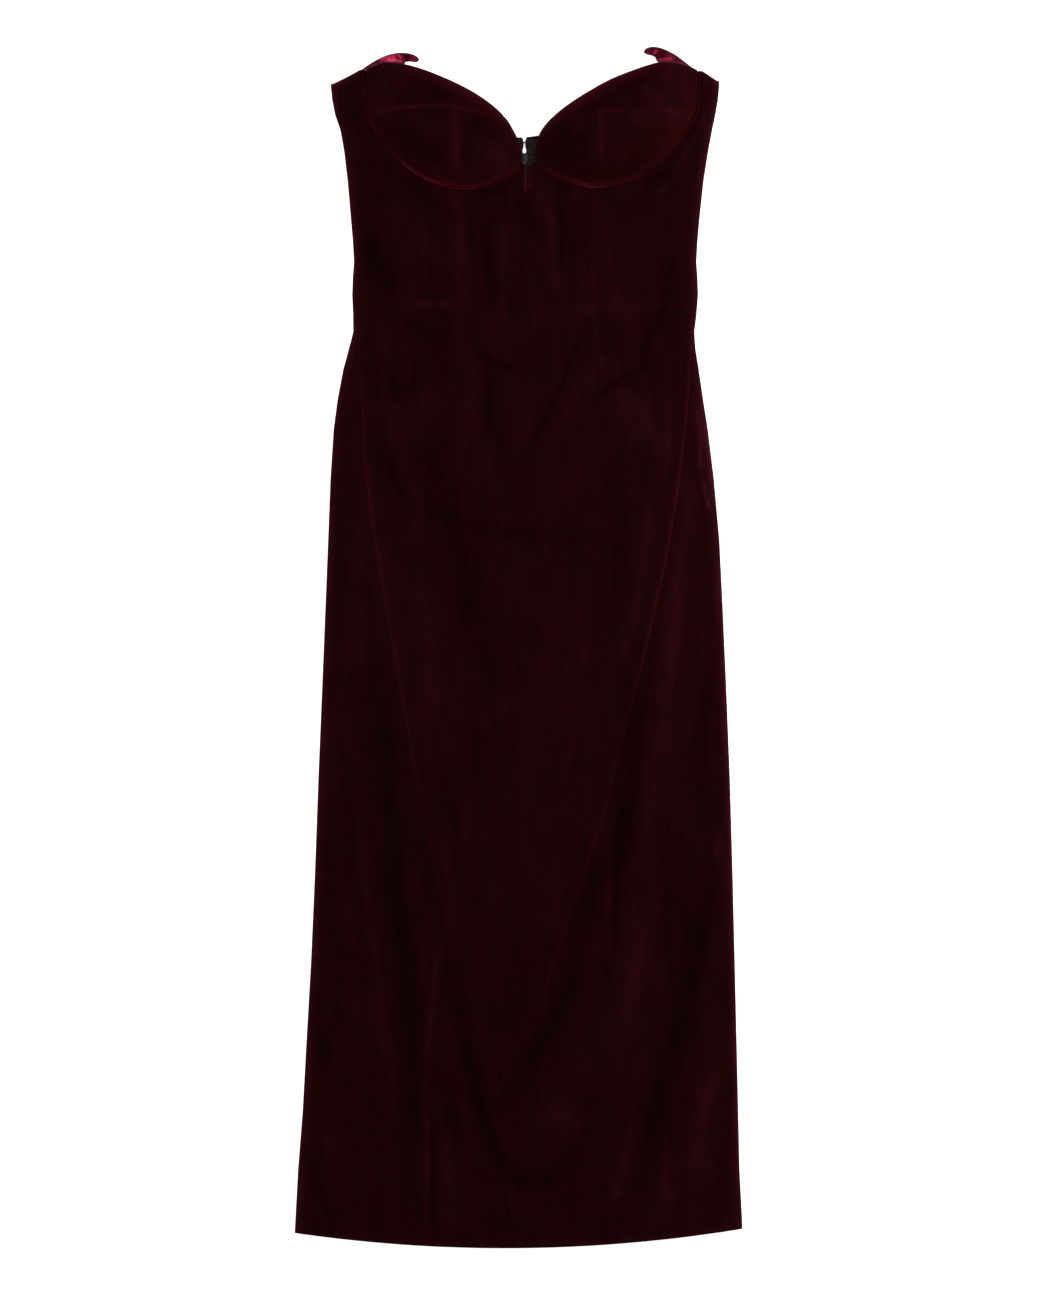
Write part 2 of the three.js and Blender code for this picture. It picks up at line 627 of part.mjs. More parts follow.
function eye() {
  const z = FASTENING_LEVEL + WIRE_RADIUS + 0.05;
  const x = CENTRE_BACK;
  const loop = [[x + 8, HOOK_Y - 2.6, z], [x + 4, HOOK_Y - 2.4, z], [x + 0.6, HOOK_Y - 1.6, z], [x - 0.6, HOOK_Y, z],
    [x + 0.6, HOOK_Y + 1.6, z], [x + 4, HOOK_Y + 2.4, z], [x + 8, HOOK_Y + 2.6, z]];
  return rod(loop, WIRE_RADIUS);
}

function hook() {
  const x = CENTRE_BACK;
  const z = FASTENING_LEVEL + WIRE_RADIUS + 0.05;
  const bend = [[x - 8, HOOK_Y, z], [x - 5, HOOK_Y, z + 0.2], [x - 2.4, HOOK_Y, z + 1.3], [x + 0.2, HOOK_Y, z + 1.5],
    [x + 1.5, HOOK_Y, z + 0.9], [x + 1.3, HOOK_Y, z - 0.05]];
  return rod(bend, WIRE_RADIUS);
}

// Colours of the real materials
const VELVET = { colour: '#2a060b', roughness: 0.85, metalness: 0 };
const DULL_PINK = { colour: '#5a2028', roughness: 0.8, metalness: 0 };
const CHARCOAL = { colour: '#1b1a1e', roughness: 0.8, metalness: 0 };
const DARK_METAL = { colour: '#2c2a2b', roughness: 0.4, metalness: 0.9 };

const dress = new THREE.Group();
dress.name = 'dress';

function addNode(name, body, finish) {
  const data = body.simplify(FLAT_ENOUGH).getMesh();
  const geometry = new THREE.BufferGeometry();
  geometry.setAttribute('position', new THREE.BufferAttribute(new Float32Array(data.vertProperties), 3));
  geometry.setIndex(new THREE.BufferAttribute(new Uint32Array(data.triVerts), 1));
  geometry.computeVertexNormals();
  const material = new THREE.MeshStandardMaterial({
    color: finish.colour,
    roughness: finish.roughness,
    metalness: finish.metalness,
  });
  const mesh = new THREE.Mesh(geometry, material);
  mesh.name = name;
  dress.add(mesh);
}

// Front panels cut out of the wall along their seams
const cupPrisms = union(CUPS.map((cup) => prism(cupOutline(cup))));
const casingCuts = union(CUPS.map((cup) => prism(band(curve(cup.wire, WIRE_STEPS + 6), CASING_WIDTH + 2 * SEAM_GAP))));
const seamCuts = union(Object.values(SEAMS).map((line) => seamCut(line, 2 * line.length)));
const aboveCups = union(CUPS.map((cup) => {
  const [wireEnd, wireStart] = [cup.wire[cup.wire.length - 1], cup.wire[0]];
  return prism([wireEnd, ...cup.neckline, wireStart, [wireStart[0], ABOVE_CUPS], [wireEnd[0], ABOVE_CUPS]]);
}));
const frontBodies = bodiesOf(
  frontWall()
    .intersect(silhouettePrism(UNDERARM))
    .subtract(cupPrisms)
    .subtract(aboveCups)
    .subtract(notchPrism())
    .subtract(casingCuts)
    .subtract(seamCuts),
);
const FRONT_PANELS = [
  { name: 'front_panel', x: 0, y: 20 },
  { name: 'side_front_left', x: -125, y: 480 },
  { name: 'side_front_right', x: 145, y: 480 },
  { name: 'skirt_left', x: -125, y: -160 },
  { name: 'skirt_right', x: 105, y: -160 },
];
for (const panel of FRONT_PANELS) {
  addNode(panel.name, bodyNear(frontBodies, panel.x, panel.y), VELVET);
}

// Cups in three parts, their casings and turned tips
for (const cup of CUPS) {
  const cuts = seamCut(cup.crossSeam).add(seamCut(cup.dropSeam));
  const parts = bodiesOf(cupWall(cup).subtract(casingCuts).subtract(notchPrism()).subtract(cuts));
  const inward = cup.side === 'left' ? 1 : -1;
  addNode(`cup_upper_${cup.side}`, bodyNear(parts, cup.apex.x, 590), VELVET);
  addNode(`cup_inner_${cup.side}`, bodyNear(parts, cup.apex.x + inward * 34, 518), VELVET);
  addNode(`cup_outer_${cup.side}`, bodyNear(parts, cup.apex.x - inward * 50, 520), VELVET);
  addNode(`wire_casing_${cup.side}`, casing(cup), VELVET);
}
TIPS.forEach((tip, i) => {
  const outline = cupOutline(CUPS[i]);
  const beside = prism(outline).add(prism(band([...outline, outline[0]], 2 * SEAM_GAP)));
  addNode(`cup_tip_${tip.side}`, bodiesOf(tipWall(tip).subtract(beside))[0], DULL_PINK);
});

// Back pieces, zip, hook and eye
const backNeck = [...BACK_NECK].reverse();
for (const side of ['left', 'right']) {
  const back = backWall(side).intersect(silhouettePrism(backNeck)).subtract(openingPrism(0));
  addNode(`back_${side}`, bodiesOf(back)[0], VELVET);
  addNode(`zip_tape_${side}`, tape(side), CHARCOAL);
}
addNode('zip_chain', chain(), CHARCOAL);
addNode('zip_slider', slider(), DARK_METAL);
addNode('zip_pull', pull(), DARK_METAL);
addNode('hook', hook(), DARK_METAL);
addNode('eye', eye(), DARK_METAL);

export default dress;
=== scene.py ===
# Strapless velvet bustier dress, laid on its back on a white table, front up.
import math
import bpy
import numpy as np
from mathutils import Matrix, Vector, kdtree
from mathutils.geometry import delaunay_2d_cdt


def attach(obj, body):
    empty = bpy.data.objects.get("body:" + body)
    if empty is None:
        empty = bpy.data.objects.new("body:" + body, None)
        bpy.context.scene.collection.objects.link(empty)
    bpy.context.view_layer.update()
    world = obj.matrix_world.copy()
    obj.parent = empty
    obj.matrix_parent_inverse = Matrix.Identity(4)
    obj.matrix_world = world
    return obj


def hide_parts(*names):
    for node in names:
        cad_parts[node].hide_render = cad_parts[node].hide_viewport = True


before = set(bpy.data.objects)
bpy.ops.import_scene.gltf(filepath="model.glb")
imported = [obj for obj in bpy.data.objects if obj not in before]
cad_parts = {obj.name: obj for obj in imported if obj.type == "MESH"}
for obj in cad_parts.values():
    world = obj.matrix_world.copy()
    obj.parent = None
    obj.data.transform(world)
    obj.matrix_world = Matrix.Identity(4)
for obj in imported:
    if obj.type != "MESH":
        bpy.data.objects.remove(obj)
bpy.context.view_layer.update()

# Back of the dress. Two flat pieces of stretch velvet from neckline to hem, joined down the middle
# by a zip. They lie face down on the table, and lift a little where the zip pull lies under them.
MM = 0.001
CLOTH = 2.0
SEAM_GAP = 0.3
silhouette = np.array([
    # y, left, right
    (-625, -233.9, 233.9), (-593.2, -232.4, 233.0), (-543, -229.7, 230.4), (-480.7, -224.8, 229.0),
    (-418, -221.4, 227.6), (-324.5, -216.1, 225.4), (-231, -212.0, 223.1), (-137, -208.6, 220.4),
    (-43, -204.7, 216.7), (50.5, -200.9, 212.5), (113, -198.4, 209.4), (175.5, -196.0, 203.8),
    (228, -192.7, 197.4), (258.9, -188.6, 192.6), (290, -182.8, 188.0), (313, -176.6, 184.4),
    (330, -172.2, 183.3), (348, -172.4, 185.6), (368, -173.3, 187.2), (386, -172.7, 186.6),
    (403, -171.4, 185.4), (424, -172.6, 186.6), (446, -174.5, 188.5), (488, -178.1, 193.0),
    (519, -181.8, 197.9), (540, -185.6, 201.8), (556, -191.1, 205.2), (571.4, -194.1, 207.9),
    (588, -195.8, 209.4)])
hem_low, hem_centre, hem_half, hem_rise = -625.0, -14.0, 220.0, 16.0
centre_back = 6.2
opening = np.array([
    # y, half width between the two back pieces
    (-645, 0.15), (498, 0.15), (504, 1.5), (516, 1.5), (519, 2.0), (523, 0.7), (526, 0.7), (533, 1.9),
    (540, 2.6)])
back_neck = [(-195, 589), (-180, 583), (-102.6, 558.9), (-40.1, 542.2), (6.2, 532.6), (84.9, 550.5),
             (150, 572), (209, 592)]
lift_high, lift_flat, lift_fade, lift_from, lift_length = 2.6, 8.0, 20.0, 460.0, 22.0


def left_at(y):
    return np.interp(y, silhouette[:, 0], silhouette[:, 1])


def right_at(y):
    return np.interp(y, silhouette[:, 0], silhouette[:, 2])


def hem_at(x):
    return hem_low + hem_rise * ((x - hem_centre) / hem_half) ** 2


def soft_step(t):
    t = np.clip(t, 0.0, 1.0)
    return t * t * (3 - 2 * t)


def curve(points, spacing=2.5):
    """A smooth line through points, with a point every spacing millimetres."""
    p = np.array(points, float)
    ends = np.vstack([2 * p[0] - p[1], p, 2 * p[-1] - p[-2]])
    t = np.linspace(0, 1, 24, endpoint=False)[:, None]
    fine = []
    for a, b, c, d in zip(ends, ends[1:], ends[2:], ends[3:]):
        bend, twist = 2 * a - 5 * b + 4 * c - d, 3 * b - a - 3 * c + d
        fine.append(0.5 * (2 * b + (c - a) * t + bend * t ** 2 + twist * t ** 3))
    fine = np.vstack(fine + [p[-1:]])
    run = np.concatenate([[0], np.cumsum(np.hypot(*np.diff(fine, axis=0)[:, :2].T))])
    count = max(2, int(round(run[-1] / spacing)) + 1)
    at = np.linspace(0, run[-1], count)
    return np.stack([np.interp(at, run, fine[:, k]) for k in range(p.shape[1])], axis=1)


def stretch(line, start, end):
    """The part of a line between its points nearest start and end, in that order."""
    a, b = (np.argmin(np.hypot(*(line[:, :2] - np.array(spot)).T)) for spot in (start, end))
    return line[a:b + 1] if a <= b else line[b:a + 1][::-1]


def to_left(step):
    """Unit steps to the left of the given ones."""
    step = step / np.maximum(np.hypot(*step.T), 1e-6)[:, None]
    return np.stack([-step[:, 1], step[:, 0]], axis=1)


def beside(line, out):
    """The line moved sideways, to its left when out is positive."""
    return line[:, :2] + to_left(np.gradient(line[:, :2], axis=0)) * out


def side_line(side, low, high):
    y = np.linspace(low, high, max(2, int((high - low) / 3)))
    return np.stack([left_at(y) if side == "left" else right_at(y), y], axis=1)


def hem_line(start, end):
    x = np.linspace(start, end, max(2, int(abs(end - start) / 2.5)))
    return np.stack([x, hem_at(x)], axis=1)


least_spacing = 0.4


def closed_outline(*lines):
    """One outline, turning left, from lines laid end to end."""
    line = np.vstack([part[:, :2] for part in lines])
    line = line[np.hypot(*(line - np.roll(line, 1, axis=0)).T) > least_spacing]
    x, y = line.T
    turning = np.sum(x * np.roll(y, -1) - np.roll(x, -1) * y)
    return line if turning > 0 else line[::-1]


def distance_to(outline, points):
    """How far points are from an outline, in millimetres."""
    closed = np.vstack([outline, outline[:1]])
    fine = np.vstack([closed[:-1] + (closed[1:] - closed[:-1]) * t for t in (0, 0.25, 0.5, 0.75)])
    tree = kdtree.KDTree(len(fine))
    for i, (x, y) in enumerate(fine):
        tree.insert((x, y, 0), i)
    tree.balance()
    return np.array([tree.find((x, y, 0))[2] for x, y in points])


def steepness(form, x, y, step):
    """How steeply a form rises there, over two steps."""
    return np.hypot((form(x + step, y) - form(x - step, y)) / (2 * step),
                    (form(x, y + step) - form(x, y - step)) / (2 * step))


def placed(name, data):
    """A new object that holds data, linked into the scene."""
    thing = bpy.data.objects.new(name, data)
    bpy.context.scene.collection.objects.link(thing)
    return thing


def keep_on(mesh, name, values):
    """Keeps a value for each point of a mesh, for its material to read."""
    mesh.attributes.new(name, "FLOAT", "POINT").data.foreach_set("value", values)


edge_rings, row_spacing, ring_clear, grid_clear = (0.12, 0.4, 0.9, 1.7), 0.866, 0.93, 0.45
edge_depth, least_wall, steepest = 0.85, 0.25, 2.2


def cut_cloth(name, outline, height, cloth=CLOTH, grid=3.2, roll=1.3, under=None, pile=None, edge_width=1.3,
              edge_shade=0.0):
    """A cloth piece cut to an outline, its edges rolled over. height gives the upper face over x and y, and
    under, where given, the inner face. The mesh keeps how near each point is to its sewn edge, for a painted
    highlight along it, and the painted shade and highlight that pile gives, with a further amount at the
    edge."""
    inward = to_left(np.roll(outline, -1, axis=0) - np.roll(outline, 1, axis=0))
    low, high = outline.min(axis=0), outline.max(axis=0)
    rows = np.arange(low[1], high[1], grid * row_spacing)
    inner = np.array([(x + grid * 0.5 * (k % 2), y)
                      for k, y in enumerate(rows) for x in np.arange(low[0], high[0], grid)])
    inner = inner[distance_to(outline, inner) > roll * edge_rings[-1] + grid * grid_clear]
    points = [outline]
    for k in edge_rings:
        ring = outline + inward * (roll * k)
        points.append(ring[distance_to(outline, ring) > roll * k * ring_clear])
    points = np.vstack(points + [inner])
    count = len(outline)
    edges = [(i, (i + 1) % count) for i in range(count)]
    flat, _, faces, *_ = delaunay_2d_cdt([Vector(p) for p in points], edges, [list(range(count))], 1, 1e-4)
    flat = np.array([tuple(p) for p in flat])
    used = np.unique([i for face in faces for i in face])
    renumber = {int(old): new for new, old in enumerate(used)}
    flat = flat[used]
    faces = [[renumber[i] for i in face] for face in faces]
    reach = distance_to(outline, flat)
    away = np.minimum(reach, roll)
    drop = roll * edge_depth * (1 - np.sqrt(np.maximum(0, 1 - ((roll - away) / roll) ** 2)))
    x, y = flat.T
    top = height(x, y)
    if under:
        inner_face = under(x, y)
    else:
        inner_face = top - cloth * np.minimum(steepest, np.hypot(1, steepness(height, x, y, 1)))
    upper = np.column_stack([x, y, np.maximum(top - drop, inner_face + least_wall)])
    lower = np.column_stack([x, y, inner_face])
    number = len(flat)
    sides = dict.fromkeys((a, b) for face in faces for a, b in zip(face, face[1:] + face[:1]))
    rim = [(a, b) for a, b in sides if (b, a) not in sides]
    polygons = faces + [[number + i for i in reversed(face)] for face in faces]
    polygons += [[b, a, number + a, number + b] for a, b in rim]
    mesh = bpy.data.meshes.new(name)
    mesh.from_pydata((np.vstack([upper, lower]) * MM).tolist(), [], polygons)
    mesh.update()
    mesh.shade_smooth()
    # Weight of the painted edge highlight; the edge amount adds painted shade or highlight there too.
    near_edge = np.exp(-(reach / edge_width) ** 2)
    keep_on(mesh, "painted_edge_highlight", np.tile(near_edge, 2))
    # Painted shade and highlight, for the material to scale the base colour by.
    if pile:
        keep_on(mesh, "painted_shade_and_highlight", np.tile(pile(x, y) + edge_shade * near_edge, 2))
    return placed(name, mesh)


def new_material(name):
    """A material with its node tree and its shader."""
    material = bpy.data.materials.new(name)
    material.use_nodes = True
    return material, material.node_tree, material.node_tree.nodes["Principled BSDF"]


def settle(tree, node, links=(), **settings):
    """Sets a node's settings and inputs. A link is an output, a node for its first output, or a plain
    value, and then its input."""
    for key, value in settings.items():
        if hasattr(node, key):
            setattr(node, key, value)
        else:
            node.inputs[key.replace("_", " ")].default_value = value
    for source, name in links:
        if isinstance(source, bpy.types.Node):
            source = source.outputs[0]
        if isinstance(source, bpy.types.NodeSocket):
            tree.links.new(source, node.inputs[name])
        else:
            node.inputs[name].default_value = source
    return node


def add(tree, kind, links=(), **settings):
    """Adds a node with its settings and links."""
    return settle(tree, tree.nodes.new(kind), links, **settings)


def linear(hex_colour):
    """An sRGB hex colour as linear red, green, blue and full alpha."""
    parts = [int(hex_colour[i:i + 2], 16) / 255 for i in (1, 3, 5)]
    return [c / 12.92 if c <= 0.04045 else ((c + 0.055) / 1.055) ** 2.4 for c in parts] + [1.0]


def pile_velvet(name, deep, lit, edge_highlight, sheen_tint, sheen, sheen_roughness, mottle=20.0, contrast=1.7):
    """Polyester stretch velvet, a knitted ground with a brushed 1.5 mm pile, its tone varying at random.
    Light and
    shade are painted into its base colour: lighter on ridges, along sewn edges and in patches, darker in
    troughs."""
    material, tree, shader = new_material(name)
    place = add(tree, "ShaderNodeTexCoord").outputs["Object"]
    brushed = add(tree, "ShaderNodeVectorMath", [(place, 0), ((1.0, 0.4, 1.0), 1)], operation="MULTIPLY")
    patches = add(tree, "ShaderNodeTexNoise", [(brushed, "Vector")], Scale=1000 / mottle, Detail=4.0,
                  Roughness=0.6, Distortion=0.8)
    tufts = add(tree, "ShaderNodeTexNoise", [(place, "Vector")], Scale=1000 / 1.6, Detail=2.0, Roughness=0.7)
    combed = add(tree, "ShaderNodeVectorMath", [(place, 0), ((1.0, 0.14, 1.0), 1)], operation="MULTIPLY")
    nap = add(tree, "ShaderNodeTexNoise", [(combed, "Vector")], Scale=1000 / 8.0, Detail=3.0, Roughness=0.6)
    ramp = add(tree, "ShaderNodeValToRGB", [(patches, "Fac")])
    for stop, place_on, colour in zip(ramp.color_ramp.elements, (0.3, 0.72), (deep, lit)):
        stop.position, stop.color = place_on, linear(colour)
    # Painted highlight: near sewn edges the colour turns toward the lighter edge colour.
    edge = add(tree, "ShaderNodeAttribute", attribute_name="painted_edge_highlight").outputs["Fac"]
    over = add(tree, "ShaderNodeMixRGB", [(edge, "Fac"), (ramp, "Color1")], Color2=linear(edge_highlight))
    speck = add(tree, "ShaderNodeMapRange", [(tufts, "Value")], From_Min=0.3, From_Max=0.7, To_Min=0.78,
                To_Max=1.22)
    # Painted shade and highlight: the base colour scaled up or down by the stored amount, and bluer where
    # lighter.
    shade_and_highlight = add(tree, "ShaderNodeAttribute", attribute_name="painted_shade_and_highlight").outputs["Fac"]
    shown = add(tree, "ShaderNodeMath", [(contrast, 0), (shade_and_highlight, 1)], operation="POWER")
    streak = add(tree, "ShaderNodeMapRange", [(nap, "Value")], From_Min=0.3, From_Max=0.7, To_Min=0.84,
                 To_Max=1.16)
    grain = add(tree, "ShaderNodeMath", [(speck, 0), (streak, 1)], operation="MULTIPLY")
    strength = add(tree, "ShaderNodeMath", [(shown, 0), (grain, 1)], operation="MULTIPLY")
    cool = add(tree, "ShaderNodeMapRange", [(shade_and_highlight, "Value")], From_Min=-1.0, From_Max=1.0, To_Min=0.76,
               To_Max=1.2)
    blue = add(tree, "ShaderNodeMath", [(strength, 0), (cool, 1)], operation="MULTIPLY")
    hue = add(tree, "ShaderNodeCombineXYZ", [(strength, "X"), (strength, "Y"), (blue, "Z")])
    tone = add(tree, "ShaderNodeVectorMath", [(over, 0), (hue, 1)], operation="MULTIPLY")
    soft = add(tree, "ShaderNodeBump", [(patches, "Height")], Strength=0.25, Distance=0.001)
    fluff = add(tree, "ShaderNodeBump", [(tufts, "Height"), (soft, "Normal")], Strength=0.4, Distance=0.0004)
    settle(tree, shader, [(tone, "Base Color"), (fluff, "Normal")], Roughness=1.0, Specular_IOR_Level=0.0,
           Sheen_Weight=sheen, Sheen_Roughness=sheen_roughness, Sheen_Tint=linear(sheen_tint))
    return material


# Dark and less dark colours for random patches, then a lighter colour painted along sewn edges as a
# highlight.
velvet = pile_velvet("stretch_velvet_burgundy", "#170406", "#200508", "#25060A", "#E02A48", 0.3, 0.35)


def lift_at(x, y):
    across = soft_step((lift_flat + lift_fade - np.abs(x - centre_back)) / lift_fade)
    return lift_high * across * soft_step((y - lift_from) / lift_length)


def opening_half(y):
    return np.interp(y, *opening.T)


def lay(piece, node, material=velvet):
    """Sews a piece into the dress: it takes its CAD node's place and its material."""
    piece.data.materials.append(material)
    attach(piece, "dress")
    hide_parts(node)


fold_start, fold_fade = 0.35, 0.3


def fold_height(x, y, path, half, high):
    """A soft ridge or trough along a path."""
    path = np.array(path, float)
    run = np.concatenate([[0], np.cumsum(np.hypot(*np.diff(path, axis=0).T))])
    best = np.full(np.shape(x), 1e9)
    along = np.zeros(np.shape(x))
    for (ax, ay), (bx, by), start, end in zip(path, path[1:], run, run[1:]):
        dx, dy, length = bx - ax, by - ay, end - start
        t = np.clip(((x - ax) * dx + (y - ay) * dy) / length ** 2, 0, 1)
        away = np.hypot(x - ax - dx * t, y - ay - dy * t)
        nearer = away < best
        best = np.where(nearer, away, best)
        along = np.where(nearer, (start + t * length) / run[-1], along)
    fade = soft_step(fold_start + along / fold_fade) * soft_step(fold_start + (1 - along) / fold_fade)
    return high * fade * np.exp(-(best / half) ** 2)


def folds_at(x, y, folds):
    return sum(fold_height(x, y, *fold) for fold in folds)


back_painted_folds = [
    # path, half width, how it shows: painted highlight where positive, painted shade where negative; the back
    # itself stays flat
    ([(-150, 300), (-110, 345), (-60, 352)], 12, -0.6), ([(160, 312), (120, 352), (60, 356)], 11, 0.5),
    ([(-120, 180), (-60, 150), (-10, 146)], 10, -0.5), ([(130, 172), (70, 148), (20, 150)], 10, 0.4),
    ([(-150, -60), (-132, -260), (-118, -480)], 15, -0.8), ([(-86, -300), (-78, -590)], 8, 0.5),
    ([(140, -40), (118, -280), (96, -560)], 14, -0.8), ([(70, -200), (60, -420)], 16, 0.4),
    ([(188, -180), (176, -420), (160, -600)], 12, 0.5), ([(-190, -300), (-196, -560)], 10, 0.4),
    ([(-40, 60), (-30, -160)], 18, 0.3), ([(-130, 470), (-118, 400)], 12, -0.4),
    ([(140, 480), (122, 410)], 12, 0.4)]


back_painted_folds = [(curve(path, 12.0), half, shows) for path, half, shows in back_painted_folds]


neck_clear, neck_foot, side_top = 1.9, 532.5, 587
for side in ("left", "right"):
    up = np.linspace(-640, 534, 400)
    middle = np.stack([centre_back + (-1 if side == "left" else 1) * opening_half(up), up], axis=1)
    neck = curve(back_neck)
    aside = neck[:, 0] - centre_back
    neck = neck[aside < -neck_clear] if side == "left" else neck[aside > neck_clear]
    middle = middle[(middle[:, 1] > hem_at(centre_back)) & (middle[:, 1] < neck_foot)]
    corner = left_at(-609) if side == "left" else right_at(-605)
    edge = side_line(side, hem_at(corner), side_top)
    hem = hem_line(corner, middle[0, 0])
    if side == "left":
        outline = closed_outline(hem, middle, neck[::-1], edge[::-1])
    else:
        outline = closed_outline(hem[::-1], edge, neck[::-1], middle[::-1])
    # The back is flat; its folds are only painted shade and highlight.
    back = cut_cloth(f"back_piece_{side}", outline, lambda x, y: CLOTH + lift_at(x, y), grid=7.0, roll=1.2,
                     under=lift_at, pile=lambda x, y: folds_at(x, y, back_painted_folds))
    lay(back, f"back_{side}")


# Zip. Two woven polyester tapes lie on the inner side of the back, with a closed nylon coil between
# them from the slider down. A row of lockstitches near each tape's outer edge holds it to the velvet.
tape_width, tape_thick, tape_foot, tape_top = 14.0, 0.8, 170.0, 531.0
coil_foot, coil_top, coil_width, coil_thick = 176.0, 502.5, 3.4, 1.3
tooth_pitch, stitch_pitch, stitch_inset, stitch_proud = 1.05, 2.6, 2.0, 0.1


def woven_tape(name, colour):
    """Woven polyester tape: ribs of yarn 0.9 mm apart across the tape, matte, with a faint shine."""
    material, tree, shader = new_material(name)
    place = add(tree, "ShaderNodeTexCoord").outputs["Object"]
    ribs = add(tree, "ShaderNodeTexWave", [(place, "Vector")], bands_direction="Y", Scale=1000 / 0.9 / 20,
               Distortion=0.4).outputs["Fac"]
    tone = add(tree, "ShaderNodeMapRange", [(ribs, "Value")], To_Min=0.7, To_Max=1.3)
    dyed = add(tree, "ShaderNodeVectorMath", [(tone, 0), (linear(colour)[:3], 1)], operation="MULTIPLY")
    bump = add(tree, "ShaderNodeBump", [(ribs, "Height")], Strength=0.6, Distance=0.0002)
    settle(tree, shader, [(dyed, "Base Color"), (bump, "Normal")], Roughness=0.75, Specular_IOR_Level=0.3)
    return material


def spun_thread(name, colour):
    """Spun or moulded nylon and polyester thread: a satin gloss, slightly uneven in tone."""
    material, tree, shader = new_material(name)
    place = add(tree, "ShaderNodeTexCoord").outputs["Object"]
    twist = add(tree, "ShaderNodeTexNoise", [(place, "Vector")], Scale=1000 / 1.5, Detail=1.0)
    tone = add(tree, "ShaderNodeMapRange", [(twist, "Value")], To_Min=0.7, To_Max=1.3)
    dyed = add(tree, "ShaderNodeVectorMath", [(tone, 0), (linear(colour)[:3], 1)], operation="MULTIPLY")
    settle(tree, shader, [(dyed, "Base Color")], Roughness=0.45)
    return material


def along_path(name, points, pitch, size, material):
    """Geometry Nodes set a bead of thread every pitch along a path, its size across, up and along."""
    line = bpy.data.curves.new(name + "_line", "CURVE")
    line.dimensions = "3D"
    spline = line.splines.new("POLY")
    spline.points.add(len(points) - 1)
    for point, place in zip(spline.points, points):
        point.co = (*(float(c) * MM for c in place), 1.0)
    guide = placed(name + "_guide", line)
    tree = bpy.data.node_groups.new(name + "_nodes", "GeometryNodeTree")
    tree.interface.new_socket("Geometry", in_out="INPUT", socket_type="NodeSocketGeometry")
    pitch_socket = tree.interface.new_socket("Pitch", in_out="INPUT", socket_type="NodeSocketFloat")
    size_socket = tree.interface.new_socket("Bead Size", in_out="INPUT", socket_type="NodeSocketVector")
    tree.interface.new_socket("Geometry", in_out="OUTPUT", socket_type="NodeSocketGeometry")
    given = add(tree, "NodeGroupInput").outputs
    spots = add(tree, "GeometryNodeCurveToPoints", [(given["Geometry"], "Curve"), (given["Pitch"], "Length")],
                mode="LENGTH")
    bead = add(tree, "GeometryNodeMeshUVSphere", Segments=8, Rings=6, Radius=0.5)
    beads = add(tree, "GeometryNodeInstanceOnPoints", [
        (spots, "Points"), (bead, "Instance"), (spots.outputs["Rotation"], "Rotation"),
        (given["Bead Size"], "Scale")])
    real = add(tree, "GeometryNodeRealizeInstances", [(beads, "Geometry")])
    coated = add(tree, "GeometryNodeSetMaterial", [(real, "Geometry"), (material, "Material")])
    add(tree, "NodeGroupOutput", [(coated, "Geometry")])
    modifier = guide.modifiers.new("beads", "NODES")
    modifier.node_group = tree
    modifier[pitch_socket.identifier] = pitch * MM
    modifier[size_socket.identifier] = [s * MM for s in size]
    bpy.context.view_layer.update()
    evaluated = guide.evaluated_get(bpy.context.evaluated_depsgraph_get())
    mesh = bpy.data.meshes.new_from_object(evaluated)
    mesh.shade_smooth()
    bpy.data.objects.remove(guide)
    return placed(name, mesh)


tape_cloth = woven_tape("woven_polyester_tape_charcoal", "#251B1B")
coil_nylon = spun_thread("nylon_coil_charcoal", "#17161A")
thread = spun_thread("polyester_thread_burgundy", "#3A0C14")
tape_level = CLOTH + SEAM_GAP + tape_thick

for side, sign in (("left", -1), ("right", 1)):
    y = np.linspace(tape_foot, tape_top, 150)
    near = np.stack([centre_back + sign * (opening_half(y) + 0.15), y], axis=1)
    far = np.stack([np.full(30, centre_back + sign * tape_width), np.linspace(tape_foot, tape_top, 30)],
                   axis=1)
    outline = closed_outline(near, far[::-1])
    tape = cut_cloth(f"zip_tape_{side}_woven", outline, lambda x, y: tape_level + lift_at(x, y), grid=3.0,
                     roll=0.35, under=lambda x, y: CLOTH + SEAM_GAP + lift_at(x, y))
    lay(tape, f"zip_tape_{side}", tape_cloth)
    x = centre_back + sign * (tape_width - stitch_inset)
    seam = [(x, v, tape_level + lift_at(x, v) + stitch_proud)
            for v in np.arange(tape_foot + 3, tape_top - 3, 4)]
    stitches = along_path(f"zip_tape_stitches_{side}", seam, stitch_pitch, (0.5, 0.5, 2.0), thread)
    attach(stitches, "dress")

coil_level = tape_level + SEAM_GAP + coil_thick / 2
coil_line = [(centre_back, v, coil_level + lift_at(centre_back, v)) for v in np.arange(coil_foot, coil_top,
                                                                                       3)]
coil = along_path("zip_coil", coil_line, tooth_pitch, (coil_width, coil_thick, 0.8), coil_nylon)
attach(coil, "dress")
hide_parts("zip_chain")


# Slider, pull tab, hook and eye. Small zinc castings and bent wire, plated dark nickel, with fine
# scratches from use. The slider runs on the coil, the pull hangs from its crown under the cloth.
# Dark nickel plate on zinc has a clear but soft reflection, broken by the scratches.
nickel, tree, shader = new_material("dark_nickel_plate")
place = add(tree, "ShaderNodeTexCoord").outputs["Object"]
scratch = add(tree, "ShaderNodeTexNoise", [(place, "Vector")], Scale=1000 / 0.8, Detail=4.0, Roughness=0.7)
gloss = add(tree, "ShaderNodeMapRange", [(scratch, "Value")], To_Min=0.22, To_Max=0.5)
settle(tree, shader, [(gloss, "Roughness")], Base_Color=linear("#2E2B2D"), Metallic=1.0)
for node in ("zip_slider", "zip_pull", "hook", "eye"):
    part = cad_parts[node]
    part.data.materials.clear()
    part.data.materials.append(nickel)


